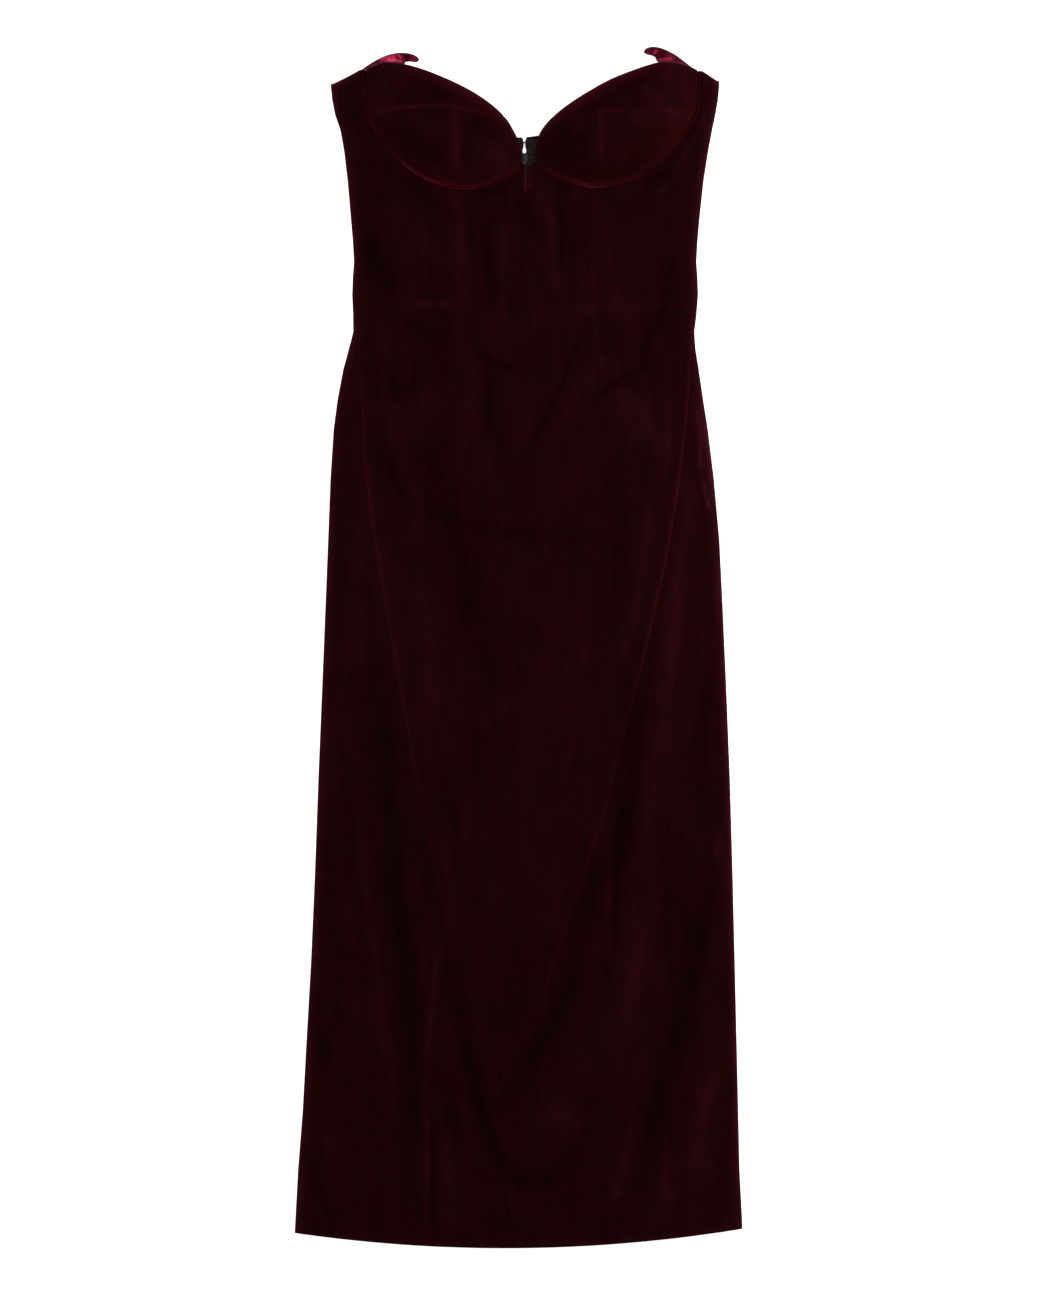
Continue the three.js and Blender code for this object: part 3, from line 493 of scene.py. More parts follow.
# Front of the skirt and bodice. One centre front runs from the notch at the neckline through the
# waist to a long V point in the skirt; side fronts and side skirt panels are sewn along its edges.
side_seam_height = CLOTH + SEAM_GAP + CLOTH + 0.05
crown = np.array([
    # y, how far the middle stands over the side seams
    (-640, 0.3), (-500, 0.6), (-300, 1.6), (-100, 3.2), (100, 4.6), (240, 6.0), (360, 9.0), (430, 11.5),
    (490, 13.5), (620, 15.0)])
crown_shoulder, edge_calm, edge_smooth, edge_roll, edge_drop = 3, 22.0, 14.0, 5.0, 1.75
# side_glow and hem_glow paint a highlight along the side seams and the hem.
side_glow, hem_glow, glow_width, most_rise, least_front = 1.6, 0.5, 6.0, 0.4, 0.3
main_folds = [
    # x1, y1, x2, y2, half width, height
    (-182, -180, -168, -560, 22, 3.4), (-119, -230, -97, -590, 13, 4.2), (-90, -340, -88, -610, 9, 2.2),
    (-104, 40, -40, -300, 18, 2.6), (14, 40, -8, -330, 42, 2.4), (52, -400, 22, -520, 24, 4.0),
    (116, -230, 88, -590, 24, 4.6), (200, -240, 176, -600, 18, 3.2), (150, 30, 108, -240, 16, 2.6),
    (118, 280, 160, 190, 14, 2.2), (-60, 150, 66, 134, 18, 2.2), (-92, 112, 88, 108, 14, -1.6),
    (76, 330, -8, 182, 12, -1.8), (-46, 476, -24, 345, 13, -2.6), (56, 470, 46, 385, 12, -2.4),
    (-154, 430, -120, 368, 16, -2.4), (172, 420, 136, 288, 15, -2.4)]
seams = {
    "princess_left": [(-60.9, 486), (-62.5, 467), (-60.9, 432), (-63, 403), (-57.8, 356), (-56.8, 330),
                      (-53.6, 311)],
    "princess_right": [(82.8, 488), (82.3, 467), (81.8, 432), (79.7, 396), (80.7, 356), (87, 311),
                       (94.3, 271)],
    "waist_left": [(-172.8, 364.1), (-123.4, 363), (-57.8, 356.8)],
    "waist_right": [(80.7, 356.8), (137, 356.8), (186.0, 358.9)],
    "slant_left": [(-172.6, 322), (-168.5, 316), (-165.1, 271), (-158.9, 176), (-145.7, 86), (-125.5, -33),
                   (-106.8, -132), (-77.6, -267), (-50.5, -397), (-32.8, -470)],
    "slant_right": [(183.6, 317.5), (181.0, 311), (177.2, 257), (169.9, 186), (155.3, 97), (127.6, -25),
                    (105.7, -108), (88, -181), (65.6, -242), (43.2, -312), (15, -398), (-6, -435),
                    (-32.8, -470)],
    "centre": [(-32.8, -470), (-29.7, -502), (-22.4, -533), (-14.1, -575), (-5.5, -625)]}
seams = {name: curve(points) for name, points in seams.items()}
creases = [
    # path, half width, how it shows: ridges light, troughs dark, also as painted highlight and shade, and
    # painted shadow under the cups
    ([(-146, -19), (-134, -192), (-120, -311), (-110, -408), (-99, -519)], 15, -0.85),
    ([(-129, -227), (-115, -324), (-107, -394)], 9, -0.35),
    ([(-78, -311), (-61, -394), (-47, -449), (-33, -498), (-16, -540), (19, -557), (61, -531)], 10, -0.95),
    ([(-73, -436), (-68, -505)], 13, -0.5),
    ([(-84, -305), (-92, -380), (-97, -450), (-96, -530), (-98, -602)], 2.8, 0.95),
    ([(-90, -495), (-88, -609)], 3.5, -1.1), ([(-75, -508), (-72, -609)], 4.5, 0.6),
    ([(132, -19), (123, -81), (113, -137), (107, -206), (78, -241), (64, -283), (52, -345), (29, -401),
      (5, -442), (-23, -481)], 13, -0.9),
    ([(113, -158), (106, -227), (102, -290)], 9, -0.55), ([(197, -33), (186, -130), (197, -192)], 11, -0.55),
    ([(199, -227), (182, -317), (165, -401), (144, -477), (132, -554)], 15, -0.9),
    ([(-92, 224), (-83, 148), (-57, 92), (-46, 37), (-32, -40)], 19, -0.6),
    ([(-60, 104), (-60, 20)], 8, -0.45), ([(-106, 148), (-40, 128), (2, 119), (43, 116), (88, 117)], 8, -0.5),
    ([(107, 155), (106, 78)], 11, -0.35), ([(-160, 430), (-146, 400), (-132, 372)], 11, -0.95),
    ([(-130, 488), (-96, 464), (-61, 453)], 9, -0.35), ([(-56, 466), (-50, 430), (-47, 400)], 4, -0.7),
    ([(-35, 460), (-33, 400), (-23, 352)], 6, -0.75), ([(-4, 468), (8, 450), (19, 430)], 5, -0.8),
    ([(42, 466), (46, 430), (42, 393)], 4.5, -0.9), ([(165, 509), (144, 478), (113, 450)], 10, -0.5),
    ([(161, 410), (155, 385), (147, 345), (131, 318), (129, 290)], 6, -0.95),
    ([(132, 294), (108, 281), (88, 268), (74, 256)], 3, -0.9),
    ([(-123, 339), (-85, 325), (-96, 287), (-123, 280)], 12, -0.5), ([(-47, -74), (-48, -151)], 12, -0.35),
    ([(36, -123), (43, -158)], 18, -0.3), ([(7, -304), (-12, -408)], 20, -0.45),
    ([(-47, 317), (-28, 299), (-4, 292)], 5, -0.8), ([(-31, 292), (-31, 224)], 5, -0.85),
    ([(61, 153), (78, 153)], 9, -0.35), ([(-165, -248), (-158, -352)], 14, -0.4),
    ([(-96, -192), (-89, -283)], 10, -0.4), ([(161, -186), (158, -283)], 11, -0.35),
    ([(-145, 216), (-134, 188), (-118, 150)], 4, -0.6), ([(-165, 148), (-171, -33)], 9, 0.35),
    ([(-113, 85), (-99, 16), (-93, -88)], 13, 0.5), ([(-111, 176), (-104, 106)], 5, 0.45),
    ([(-68, 353), (-53, 294), (-47, 214)], 8, 0.45), ([(-85, 269), (-123, 221)], 15, 0.45),
    ([(-129, 360), (-68, 356)], 4, 0.4), ([(29, 384), (47, 382)], 8, 0.55), ([(52, 353), (127, 356)], 6, 0.5),
    ([(81, 297), (65, 273), (47, 231)], 9, 0.5),
    ([(103, 272), (122, 258), (134, 235), (144, 208), (149, 178)], 5, 0.6),
    ([(106, 262), (132, 215)], 13, 0.5), ([(158, 266), (154, 203)], 9, 0.4),
    ([(137, 155), (128, 71), (106, -19)], 8, 0.5),
    ([(172, 120), (160, 37), (152, -60), (148, -110)], 9, 0.45), ([(78, 224), (71, 162)], 20, 0.18),
    ([(5, -512), (36, -488), (78, -501)], 13, 0.5), ([(117, -269), (121, -331), (85, -429)], 15, 0.45),
    ([(144, -61), (137, -158), (132, -241)], 9, 0.3), ([(78, -547), (71, -581)], 12, 0.2),
    ([(158, -519), (160, -561), (144, -602)], 11, 0.6), ([(204, -436), (189, -498), (182, -554)], 10, 0.55),
    ([(-191, -477), (-200, -574)], 12, 0.3), ([(-186, -408), (-187, -449)], 10, 0.25),
    ([(-64, -526), (-57, -602)], 12, 0.35), ([(106, 443), (127, 426)], 13, 0.45),
    ([(79, 478), (77, 370)], 9, 0.3), ([(-64, 481), (-61, 353)], 7, 0.6), ([(-7, 474), (-16, 384)], 5, 0.35),
    ([(22, 478), (36, 432), (38, 384)], 5, 0.55), ([(-130, 460), (-75, 394)], 10, 0.25),
    ([(-137, 266), (-130, 203)], 8, 0.3), ([(-75, -192), (-68, -297)], 10, 0.3),
    ([(43, -12), (2, -33), (-12, -74)], 16, 0.15), ([(15, 64), (71, 37)], 18, 0.1),
    ([(9, 503), (7, 476)], 4, 1), ([(-40, 341), (50, 341)], 9, 0.3),
    ([(-162, 203), (-150, 134), (-136, 51), (-121, -45)], 7, 0.25),
    ([(179, 183), (172, 106), (158, 37), (156, -47)], 12, 0.25),
    ([(76, 344), (60, 320), (48, 284), (31, 247), (16, 218), (-2, 194), (-18, 182)], 3.2, -0.75),
    ([(79, 346), (81, 315), (92, 284)], 2.4, 0.6), ([(-126, 353), (-110, 334)], 4, -0.5),
    ([(-92, 350), (-62, 345)], 3, -0.6), ([(-96, 406), (-88, 384)], 3, -0.6),
    ([(-78, 392), (-62, 369)], 3, -0.6), ([(-86, 224), (-74, 208)], 3.5, -0.6),
    ([(-94, 197), (-80, 174)], 4, -0.6), ([(-110, 212), (-104, 200)], 3.5, -0.4),
    ([(-19, 462), (-18, 345)], 4, 0.5),
    ([(-167, -200), (-157, -270), (-148, -340), (-140, -400), (-128, -460)], 6, 0.5),
    ([(100, -185), (101, -250), (98, -322)], 3.5, -0.6), ([(94, -215), (95, -330)], 3, 0.45),
    ([(153, -215), (155, -290), (161, -342)], 3, -0.45), ([(100, -575), (110, -532), (118, -500)], 5, 0.6),
    ([(-206, -555), (-200, -594)], 3.5, -0.7), ([(204, -222), (211, -185)], 3, 0.6),
    ([(162, 300), (160, 262)], 4, -0.5), ([(166, 205), (160, 176)], 4, -0.5),
    ([(-152, 300), (-150, 258)], 4, -0.45), ([(-131, 282), (-128, 256)], 3, -0.45),
    ([(196, 562), (182, 532), (168, 506), (150, 480), (134, 464)], 3, 0.75),
    ([(152, 498), (130, 482)], 4, -0.6), ([(-152, 515), (-128, 493), (-100, 478)], 5, -0.6),
    ([(-38, 474), (-18, 478), (-4, 490)], 5, -0.9), ([(20, 498), (34, 486), (52, 478)], 4, -0.5),
    ([(-178, 545), (-166, 522)], 3, 0.5), ([(-84, 262), (-64, 263)], 3, -0.35)]
ripple_seed = np.random.default_rng(41)
ripples = [(ripple_seed.uniform(0, math.pi), ripple_seed.uniform(22, 75), ripple_seed.uniform(0, 6.3),
            ripple_seed.uniform(0.05, 0.16)) for _ in range(14)]
one_wave = 6.283

folds_with_painted_shade = [(curve(path, 12.0), half, shows) for path, half, shows in creases]
slant_left, slant_right, centre_seam = seams["slant_left"], seams["slant_right"], seams["centre"]
shoulder_left = [(-163, 603), (-180.7, 594.3), (-196, 587)]
shoulder_right = [(210, 589), (196.4, 598.4), (190, 602)]
painted_seam_lines = [
    # where the cloth turns into a seam or an edge, painted highlight, painted shade where negative: path,
    # half width, how light it shows
    (beside(slant_left[:200:4], 1.0), 1.5, 1.25), (beside(slant_left[200:256:4], 1.0), 1.5, 0.6),
    (beside(slant_right[:170:4], -1.0), 1.5, 1.2), (beside(slant_right[170:290:4], -1.0), 1.5, 0.5),
    (centre_seam[::4], 3.0, -0.4), ([(186, 252), (189, 215), (190, 182)], 3.5, 1.5),
    ([(191.5, 178), (195, 160), (199.5, 143)], 1.7, 2.2), ([(195, 235), (199, 190), (203, 150)], 3.0, 0.8),
    ([(9.6, 503), (9.8, 473)], 2.2, 1.6), (shoulder_left, 8.0, 1.1), (shoulder_left, 2.5, 1.5),
    (shoulder_right, 8.0, 0.6), (shoulder_right, 2.5, 1.3)]
crease_depth = 1.3
fine_folds = [(path, half, shows * crease_depth) for path, half, shows in folds_with_painted_shade]
fine_folds += [
    # swells and grooves beside the seams: path, half width, height
    (beside(slant_left[::4], 6.5), 4.5, 0.7), (beside(slant_right[::4], -6.5), 4.5, 0.6),
    (beside(centre_seam[::4], 6.0), 4.5, 0.6), (seams["princess_left"][-20:], 1.3, -1.0),
    (seams["princess_right"][-36:], 1.3, -1.0), (beside(seams["waist_right"][::4], -4.5), 3.5, 0.7),
    (beside(seams["waist_left"][::4], -4.5), 3.5, 0.6)]


def front_form(x, y):
    """The solid's own form: side seams low, middle crowned, the main folds across it."""
    left, right = left_at(y), right_at(y)
    across = np.minimum(1, np.abs(2 * (x - left) / (right - left) - 1))
    calm = soft_step(np.maximum(0, np.minimum(x - left, right - x)) / edge_calm)
    rise = np.interp(y, *crown.T) * (1 - across ** crown_shoulder)
    folds = 0
    for x1, y1, x2, y2, half, high in main_folds:
        dx, dy = x2 - x1, y2 - y1
        length = math.hypot(dx, dy)
        along = ((x - x1) * dx + (y - y1) * dy) / length ** 2
        off = ((x - x1) * dy - (y - y1) * dx) / length
        fade = soft_step((along + 0.15) / 0.4) * soft_step((1.15 - along) / 0.4)
        folds = folds + high * fade * np.exp(-(off / half) ** 2)
    return side_seam_height + np.maximum(0, rise + calm * folds)


def ripples_at(x, y):
    return sum(high * np.sin((x * math.cos(turn) + y * math.sin(turn)) * one_wave / wave + shift)
               for turn, wave, shift, high in ripples)


def front_height(x, y):
    """The form with its creases, seam ridges and small ripples, rolled down at the side seams."""
    left, right = left_at(y), right_at(y)
    from_edge = np.clip(np.minimum(x - left, right - x), 0, None)
    calm = soft_step(from_edge / edge_smooth)
    small = calm * (folds_at(x, y, fine_folds) + ripples_at(x, y))
    top = np.maximum(side_seam_height - 0.05, front_form(x, y) + small)
    roll = 1 - np.sqrt(np.maximum(0, 1 - (1 - np.minimum(from_edge / edge_roll, 1)) ** 2))
    return top - edge_drop * roll


def front_painted_light(x, y):
    """Painted shade and highlight on the front, along its creases and seams, and painted highlight at the
    sides and hem.
    """
    from_edge = np.minimum(x - left_at(y), right_at(y) - x)
    at_side = side_glow * np.exp(-(from_edge / glow_width) ** 2)
    at_hem = hem_glow * np.exp(-((y - hem_at(x)) / glow_width) ** 2)
    return folds_at(x, y, folds_with_painted_shade + painted_seam_lines) + (at_side + at_hem)


def front_under(x, y):
    """The inner face: a cloth's thickness under the smooth form, clear of the back."""
    top = front_height(x, y)
    wall = CLOTH * np.hypot(1, steepness(front_form, x, y, 2))
    under = np.minimum(front_form(x, y), top + most_rise) - wall
    return np.minimum(np.maximum(CLOTH + SEAM_GAP, under), top - least_front)


cups = {
    "left": {"apex": (-62.0, 556.0, 62.0),
             "wire": [(-160.9, 602.6), (-161.5, 576.6), (-158.9, 558.9), (-141.1, 529.7), (-116.1, 502.6),
                      (-90.1, 487), (-59.9, 479.7), (-35.9, 482.8), (-10.9, 493.2), (4.7, 506.8)],
             "neckline": [(4.7, 506.8), (3.6, 519.3), (-3.6, 535.9), (-14.1, 552.6), (-32.8, 569.3),
                          (-59.9, 585.4), (-100.5, 602.6), (-133.9, 610.4), (-149.5, 606.8), (-160.9, 602.6)],
             "neck_heights": [20, 25, 30, 34, 36, 33, 27, 23],
             "cross": [(-158.2, 556.8), (-131.8, 559.9), (-92.2, 564.1), (-62, 559.9), (-40.1, 555.7),
                       (-16.2, 553.6)],
             "drop": [(-62, 559.9), (-63.3, 545.3), (-63, 519.3), (-60.9, 479.7)]},
    "right": {"apex": (84.0, 556.0, 64.0),
              "wire": [(188, 601.5), (187, 571.4), (183.9, 554.7), (170.3, 533.9), (146.4, 507.8),
                       (119.3, 490.1), (84, 481.2), (64.1, 483.9), (35.9, 494.3), (17.2, 507.8)],
              "neckline": [(17.2, 507.8), (18.8, 527.6), (27.6, 544.3), (45.3, 560.9), (70.3, 577.6),
                           (101.6, 594.3), (142.2, 608.9), (163, 609.9), (178.6, 605.7), (188, 601.5)],
              "neck_heights": [22, 28, 33, 36, 37, 31, 27, 23],
              "cross": [(184.6, 558.9), (157.8, 557.8), (107.8, 558.9), (83.9, 555.7), (64.1, 552.6),
                        (37.0, 553.6)],
              "drop": [(83.9, 555.7), (85.9, 540.1), (85.9, 509.9), (82.4, 481.4)]}}
casing_half = 1.5
for cup in cups.values():
    cup["wire"], cup["neckline"] = curve(cup["wire"], 2.0), curve(cup["neckline"], 2.0)
    cup["cross"], cup["drop"] = curve(cup["cross"], 2.0), curve(cup["drop"], 2.0)
    middle = np.argmin(np.hypot(*(cup["cross"] - cup["drop"][0]).T))
    cup["drop"][0] = cup["cross"][middle]

body_left, body_right = beside(cups["left"]["wire"], -casing_half), beside(cups["right"]["wire"], casing_half)
princess_left = stretch(seams["princess_left"], (-60.9, 479.7), (-57.8, 356.8))
princess_right = stretch(seams["princess_right"], (82.6, 481.4), (80.7, 356.8))
gore_left = stretch(body_left, (-60.9, 478.2), (2.0, 502.2))
gore_right = stretch(body_right, (82.6, 479.9), (20.0, 503.2))
notch = np.array([(4.6, 505.2), (7.3, 500.5), (8.8, 486), (9.5, 471.4), (9.9, 471.4), (10.2, 486),
                  (10.9, 500.5), (15.0, 507.2)])

front_outline = closed_outline(
    slant_right[::-1], side_line("right", 318.5, 357.5), seams["waist_right"][::-1],
    princess_right[::-1][1:-1], gore_right[1:], notch[::-1], gore_left[::-1][:-1], princess_left[1:-1],
    seams["waist_left"][::-1], side_line("left", 323, 362.8)[::-1], slant_left)
side_left_outline = closed_outline(
    seams["waist_left"], princess_left[::-1][1:-1], stretch(body_left, (-60.9, 478.2), (-162.4, 602.6)),
    curve([(-165.1, 602.6), (-180.7, 594.3), (-195.3, 587.5)]), side_line("left", 365.4, 586)[::-1])
side_right_outline = closed_outline(
    seams["waist_right"], side_line("right", 360.2, 586),
    curve([(209.2, 590), (196.4, 598.4), (191.5, 601.5)]),
    stretch(body_right, (189.5, 601.5), (82.6, 479.9)), princess_right[1:-1])
foot_left, foot_right = left_at(-609), right_at(-605.5)
skirt_left_outline = closed_outline(
    hem_line(foot_left, -5.5), centre_seam[::-1][1:], slant_left[::-1][1:],
    side_line("left", hem_at(foot_left), 320)[::-1])
skirt_right_outline = closed_outline(
    hem_line(-5.5, foot_right), side_line("right", hem_at(foot_right), 315), slant_right[1:],
    centre_seam[1:-1])

for node, name, outline, below in (
        ("front_panel", "centre_front", front_outline, ["back_left", "back_right"]),
        ("side_front_left", "side_front_left_cloth", side_left_outline, ["back_left"]),
        ("side_front_right", "side_front_right_cloth", side_right_outline, ["back_right"]),
        ("skirt_left", "side_skirt_left", skirt_left_outline, ["back_left"]),
        ("skirt_right", "side_skirt_right", skirt_right_outline, ["back_left", "back_right"])):
    # The edge amount paints the cloth darker near its sewn edges.
    panel = cut_cloth(name, outline, front_height, under=front_under, pile=front_painted_light, edge_shade=-0.55)
    lay(panel, node)


# Cups. Each is three pieces of velvet moulded over thin foam: an upper cup, and an inner and an outer
# lower cup meeting under the apex. They stand up from the bodice as domes, open at the neckline.
cup_cloth, neck_steepness, wire_steepness, past_rim = 3.0, 1.7, 2.5, 1.03
for side, cup in cups.items():
    wire = cup["wire"]
    share = np.linspace(0, 1, len(wire))
    steep = neck_steepness + (wire_steepness - neck_steepness) * soft_step(np.minimum(share, 1 - share) / 0.2)
    wire_rim = np.column_stack([wire, front_form(*wire.T), steep])
    neck = cup["neckline"]
    heights = [wire_rim[-1, 2], *cup["neck_heights"], wire_rim[0, 2]]
    neck_z = np.interp(np.linspace(0, len(heights) - 1, len(neck)), range(len(heights)), heights)
    neck_rim = np.column_stack([neck, neck_z, np.full(len(neck), neck_steepness)])[1:-1]
    rim = np.vstack([wire_rim, neck_rim])
    dx, dy = (rim[:, :2] - cup["apex"][:2]).T
    turn = np.arctan2(dy, dx)
    cup["rim"] = np.column_stack([turn, np.hypot(dx, dy), rim[:, 2], rim[:, 3]])[np.argsort(turn)]


def cup_height(cup, x, y):
    """Dome over the rim: steep at the wire, easing to a rounded apex and down to the neckline."""
    ax, ay, az = cup["apex"]
    turn, reach = np.arctan2(y - ay, x - ax), np.hypot(x - ax, y - ay)
    turns, *rims = cup["rim"].T
    full, base, steep = (np.interp(turn, turns, rim, period=2 * math.pi) for rim in rims)
    return base + (az - base) * (1 - np.minimum(reach / full, past_rim) ** steep)


cup_creases = {
    # path, half width, how it shows: a fold in the dome, painted highlight where positive, painted shade
    # where negative
    "left": [([(-137, 546), (-110, 526), (-78, 503)], 13, -1), ([(-52, 546), (-32, 537)], 12, -1.0),
             ([(-53, 530), (-54, 503)], 5, -0.7),
             ([(-146, 558), (-120, 561.5), (-80, 563.5), (-58, 560.5), (-36, 556)], 2.5, 0.8),
             ([(-146, 564), (-130, 575), (-117, 586)], 4, 0.5), ([(-142, 598), (-108, 596)], 10, 0.5),
             ([(-105, 549), (-80, 530)], 10, 0.3), ([(-64, 561), (-66, 526), (-68, 492)], 6, 0.95),
             ([(-30, 521), (-17, 506), (-9, 497)], 8, 0.55), ([(-123, 553), (-96, 546)], 6, 0.2)],
    "right": [([(40, 517), (68, 497), (106, 497), (144, 524)], 12, -0.8), ([(46, 532), (64, 524)], 8, -0.6),
              ([(113, 533), (154, 537)], 9, -0.6), ([(135, 600), (166, 598)], 10, 0.5),
              ([(84, 559), (85, 512)], 3.5, 0.9), ([(90, 546), (127, 548)], 5, 0.5),
              ([(131, 580), (149, 568), (165, 550)], 7, 0.6), ([(76, 550), (61, 541)], 7, 0.5),
              ([(82, 558), (110, 558.5)], 2.5, 0.6), ([(113, 571), (106, 561)], 8, 0.2)]}
# Painted highlight along the neckline: its width and how light it is.
neck_highlight_width, cup_depth, cup_ripple = 5.5, 0.7, 0.5
neck_highlight_strength = {"left": 1.65, "right": 1.85}
for side, cup in cups.items():
    wire, cross, drop, neck = cup["wire"], cup["cross"], cup["drop"], cup["neckline"]
    cup_wire = beside(wire, casing_half if side == "left" else -casing_half)
    outer_end, inner_end, foot, apex = cross[0], cross[-1], drop[-1], drop[0]
    wire_outer = stretch(cup_wire, cup_wire[0], outer_end)
    wire_low = stretch(cup_wire, outer_end, foot)
    wire_inner = stretch(cup_wire, foot, cup_wire[-1])
    neck_inner, neck_upper = stretch(neck, neck[0], inner_end), stretch(neck, inner_end, neck[-1])
    cross_outer, cross_inner = stretch(cross, outer_end, apex), stretch(cross, apex, inner_end)
    folds = [(curve(path, 8.0), half, shows) for path, half, shows in cup_creases[side]]
    neck_highlight = (neck[::4], neck_highlight_width, neck_highlight_strength[side])

    def smooth_dome(x, y, cup=cup):
        return cup_height(cup, x, y)

    def dome(x, y, folds=folds):
        return smooth_dome(x, y) + cup_depth * folds_at(x, y, folds) + cup_ripple * ripples_at(x, y)

    def dome_painted_light(x, y, folds=folds + [neck_highlight]):
        return folds_at(x, y, folds)

    def dome_under(x, y):
        thick = np.minimum(steepest, np.hypot(1, steepness(smooth_dome, x, y, 1.5)))
        return smooth_dome(x, y) - cup_cloth * thick

    upper = closed_outline(wire_outer[1:-1], cross_outer[:-1], cross_inner[:-1], neck_upper[:-1])
    lower_outer = closed_outline(wire_low[1:-1], drop[::-1][:-1], cross_outer[::-1][:-1])
    lower_inner = closed_outline(wire_inner[1:-1], neck_inner[:-1], cross_inner[::-1][:-1], drop[:-1])
    for part, outline in (("upper", upper), ("outer", lower_outer), ("inner", lower_inner)):
        piece = cut_cloth(f"cup_{part}_{side}_moulded", outline, dome, grid=2.4, roll=1.1, under=dome_under,
                          pile=dome_painted_light, edge_shade=-0.25)
        lay(piece, f"cup_{part}_{side}")


# Underwire casings. A steel wire in a narrow velvet tube, sewn into the seam round each cup from the
# side to the notch. It stands a little proud; a lighter velvet, painted darker overall, with painted
# highlights in stretches.
casing_width, casing_height, casing_sunk, around = 3.2, 3.8, 0.6, 10
casing_highlights = {
    "left": [([(-124, 511), (-104, 495), (-80, 485)], 9, 1.8), ([(-160, 553), (-148, 537)], 6, 0.9),
             ([(-161, 592), (-160, 570)], 6, 0.7), ([(-50, 480), (-38, 483)], 6, 0.4)],
    "right": [([(90, 482), (64, 484)], 7, 1.1), ([(58, 486), (40, 493)], 6, 0.2)]}
casing_shade = -0.75
casing_velvet = pile_velvet("stretch_velvet_casing_painted_highlight", "#22060B", "#34090F", "#2C080E", "#E83C5C", 0.5, 0.38,
                            mottle=30.0)
for side, cup in cups.items():
    line = cup["wire"][:-2]
    sections = []
    for (x, y), (aside_x, aside_y), base in zip(line, to_left(np.gradient(line, axis=0)),
                                                front_form(*line.T)):
        for k in range(around):
            turn = (k + 0.5) / around * 2 * math.pi
            out, up = math.cos(turn) * casing_width / 2, math.sin(turn) * casing_height / 2
            level = base - casing_sunk + up
            sections.append(((x - out * aside_x) * MM, (y - out * aside_y) * MM, level * MM))
    last = len(line) - 1
    faces = [[i * around + k, (i + 1) * around + k, (i + 1) * around + (k + 1) % around,
              i * around + (k + 1) % around] for i in range(last) for k in range(around)]
    faces += [list(range(around)), [last * around + k for k in reversed(range(around))]]
    mesh = bpy.data.meshes.new(f"casing_{side}_tube")
    mesh.from_pydata(sections, [], faces)
    mesh.update()
    mesh.shade_smooth()
    # Painted shade over the whole tube, with painted highlights along the listed stretches.
    keep_on(mesh, "painted_shade_and_highlight", np.repeat(casing_shade + folds_at(*line.T, casing_highlights[side]), around))
    mesh.materials.append(casing_velvet)
    tube = placed(f"casing_{side}_tube", mesh)
    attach(tube, "dress")
    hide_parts(f"wire_casing_{side}")


# Cup tips. At the top outer corner of each cup the velvet rolls over the edge toward the middle.
# Their pale pink is painted sheen and highlight, in a lighter copy of the velvet.
tips = {
    "left": {"root": ((-160, 603), (-118, 607)),
             "inner": [(-117.4, 609.7), (-113, 610.3), (-107, 609.7), (-104.0, 610.8)],
             "free": [(-103.3, 612.4), (-105.2, 615.4), (-112, 618.5), (-124.2, 619.4), (-135.9, 617.3),
                      (-146.4, 612.9), (-154.7, 608.2), (-161, 604.0), (-163.8, 602.9)],
             "heights": [(-162, 17), (-154, 21.5), (-145, 24.5), (-135, 26.5), (-124, 27.5), (-113, 26),
                         (-104, 23)],
             "shows": [([(-146, 612), (-136, 614.5), (-126, 616)], 3.0, 2.5),
                       ([(-138, 611.5), (-127, 611.5), (-119, 610)], 1.8, 2.6),
                       ([(-126, 617.5), (-120, 613)], 1.6, 2.2), ([(-113, 614.5), (-106, 612.5)], 4.5, 1.1),
                       ([(-156, 605), (-146, 609)], 3.0, 0.6), ([(-117, 615), (-114, 612)], 1.6, -0.8)]},
    "right": {"root": ((180, 604.5), (146, 609)),
              "inner": [(143.3, 611.5), (142.6, 613.8), (139.9, 616.0), (133.0, 617.8)],
              "free": [(130.0, 620.0), (131.4, 623.0), (135, 625.0), (140, 625.7), (147.4, 624.6),
                       (155.7, 621.4), (164.1, 616.9), (172.4, 610.8), (180.2, 604.9)],
              "heights": [(131, 24), (138, 26.5), (147, 28.5), (156, 27.5), (164, 25.5), (172, 23),
                          (181, 19)],
              "shows": [([(144, 611.5), (152, 613), (160, 613)], 1.8, 2.0),
                        ([(141, 618), (144, 623)], 1.9, 2.3), ([(138, 620.5), (132, 620.5)], 4.0, 0.9),
                        ([(154, 618), (163, 613)], 2.2, 0.9), ([(148, 618), (150, 614)], 2.4, -0.6),
                        ([(166, 611), (176, 605)], 3.0, 0.3)]}}
# A lighter, pinker copy of the velvet: painted sheen, with painted highlights and shade in the listed marks
# and a grey-pink painted edge highlight.
tip_velvet = pile_velvet("stretch_velvet_rolled_edge_painted_sheen", "#34060F", "#4C0C1A", "#46202A", "#FF6A90", 0.4, 0.3,
                         mottle=5.0, contrast=2.4)
tip_swell, tip_round, tip_gap = 1.6, 5.0, 0.8
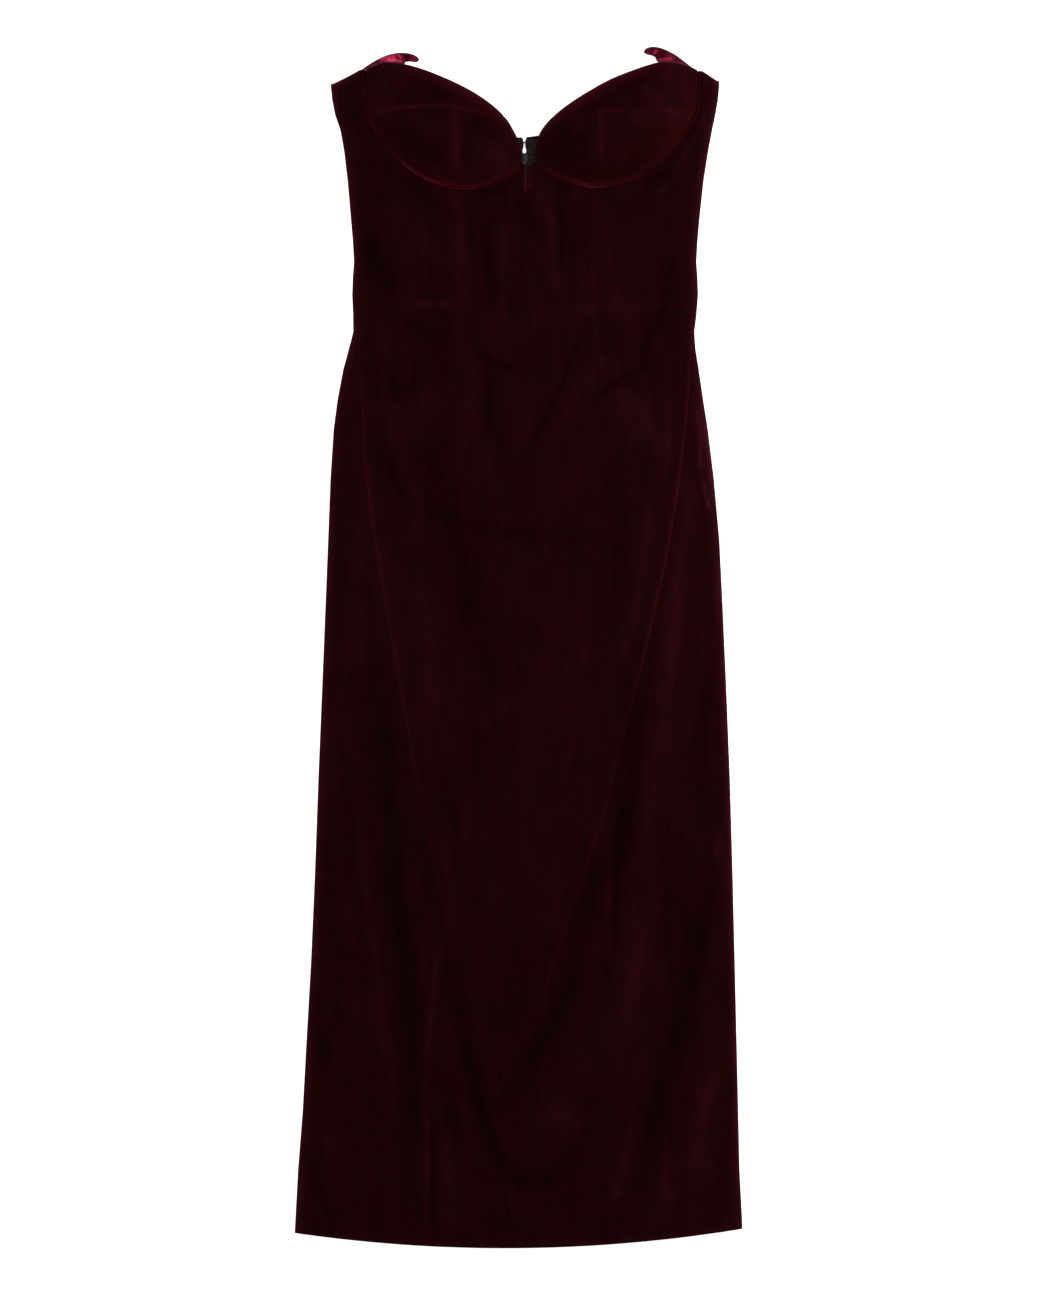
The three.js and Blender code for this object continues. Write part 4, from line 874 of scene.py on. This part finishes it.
for side, shape in tips.items():
    root = stretch(beside(cups[side]["neckline"], tip_gap if side == "left" else -tip_gap), *shape["root"])
    outline = closed_outline(root, curve(shape["inner"], 1.5), curve(shape["free"], 1.5))

    def tip_height(x, y, outline=outline, heights=np.array(shape["heights"])):
        away = distance_to(outline, np.column_stack([np.ravel(x), np.ravel(y)])).reshape(np.shape(x))
        return np.interp(x, *heights.T) + tip_swell * np.sin(np.minimum(away / tip_round, 1.0) * math.pi / 2)

    def tip_painted_light(x, y, shows=shape["shows"]):
        return folds_at(x, y, shows)

    rolled = cut_cloth(f"cup_tip_{side}_rolled", outline, tip_height, cloth=1.6, grid=1.2, roll=0.6,
                       pile=tip_painted_light,
                       edge_width=1.2)
    lay(rolled, f"cup_tip_{side}", tip_velvet)


# Table, light and camera. A white table top under a soft sky, two long soft lamps beside the dress
# and one above. The camera looks straight down, with a long lens so that nothing leans.
# White laminate is matte. It is lit a little from within, so that it stays white to the frame's edge.
laminate, tree, shader = new_material("white_laminate")
settle(tree, shader, Base_Color=linear("#F8F8F8"), Roughness=0.9, Specular_IOR_Level=0.1,
       Emission_Color=(1, 1, 1, 1), Emission_Strength=0.9)
table_mesh = bpy.data.meshes.new("table_top")
reach, table_level = 12.0, -0.0004
table_mesh.from_pydata([(x * reach, y * reach, table_level) for x, y in ((-1, -1), (1, -1), (1, 1), (-1, 1))],
                       [], [(0, 1, 2, 3)])
table_mesh.materials.append(laminate)
placed("table_top", table_mesh)

world = bpy.data.worlds.new("studio")
bpy.context.scene.world = world
world.use_nodes = True
sky = world.node_tree.nodes["Background"]
sky.inputs["Color"].default_value = (1, 1, 1, 1)
sky.inputs["Strength"].default_value = 0.3


def soft_lamp(name, place, width, length, power):
    """A long soft lamp that points at the middle of the dress."""
    lamp = bpy.data.lights.new(name, "AREA")
    lamp.shape, lamp.size, lamp.size_y, lamp.energy = "RECTANGLE", width, length, power
    holder = placed(name, lamp)
    holder.location = place
    holder.rotation_euler = (Vector() - Vector(place)).to_track_quat("-Z", "Y").to_euler()


soft_lamp("lamp_left", (-1.6, 0.3, 0.8), 0.7, 1.6, 14)
soft_lamp("lamp_right", (1.6, 0.0, 0.6), 0.6, 1.8, 38)
soft_lamp("lamp_above", (0.0, 0.8, 2.2), 1.2, 1.2, 10)

frame_height, lens, sensor = 1.3542, 300.0, 36.0
camera = placed("camera", bpy.data.cameras.new("camera"))
camera.data.lens, camera.data.sensor_width, camera.data.sensor_fit = lens, sensor, "AUTO"
camera.data.clip_end = 60.0
camera.location = (0.0016, -0.0016, frame_height * lens / sensor + 0.006)
bpy.context.scene.camera = camera
bpy.context.scene.view_settings.view_transform = "Standard"
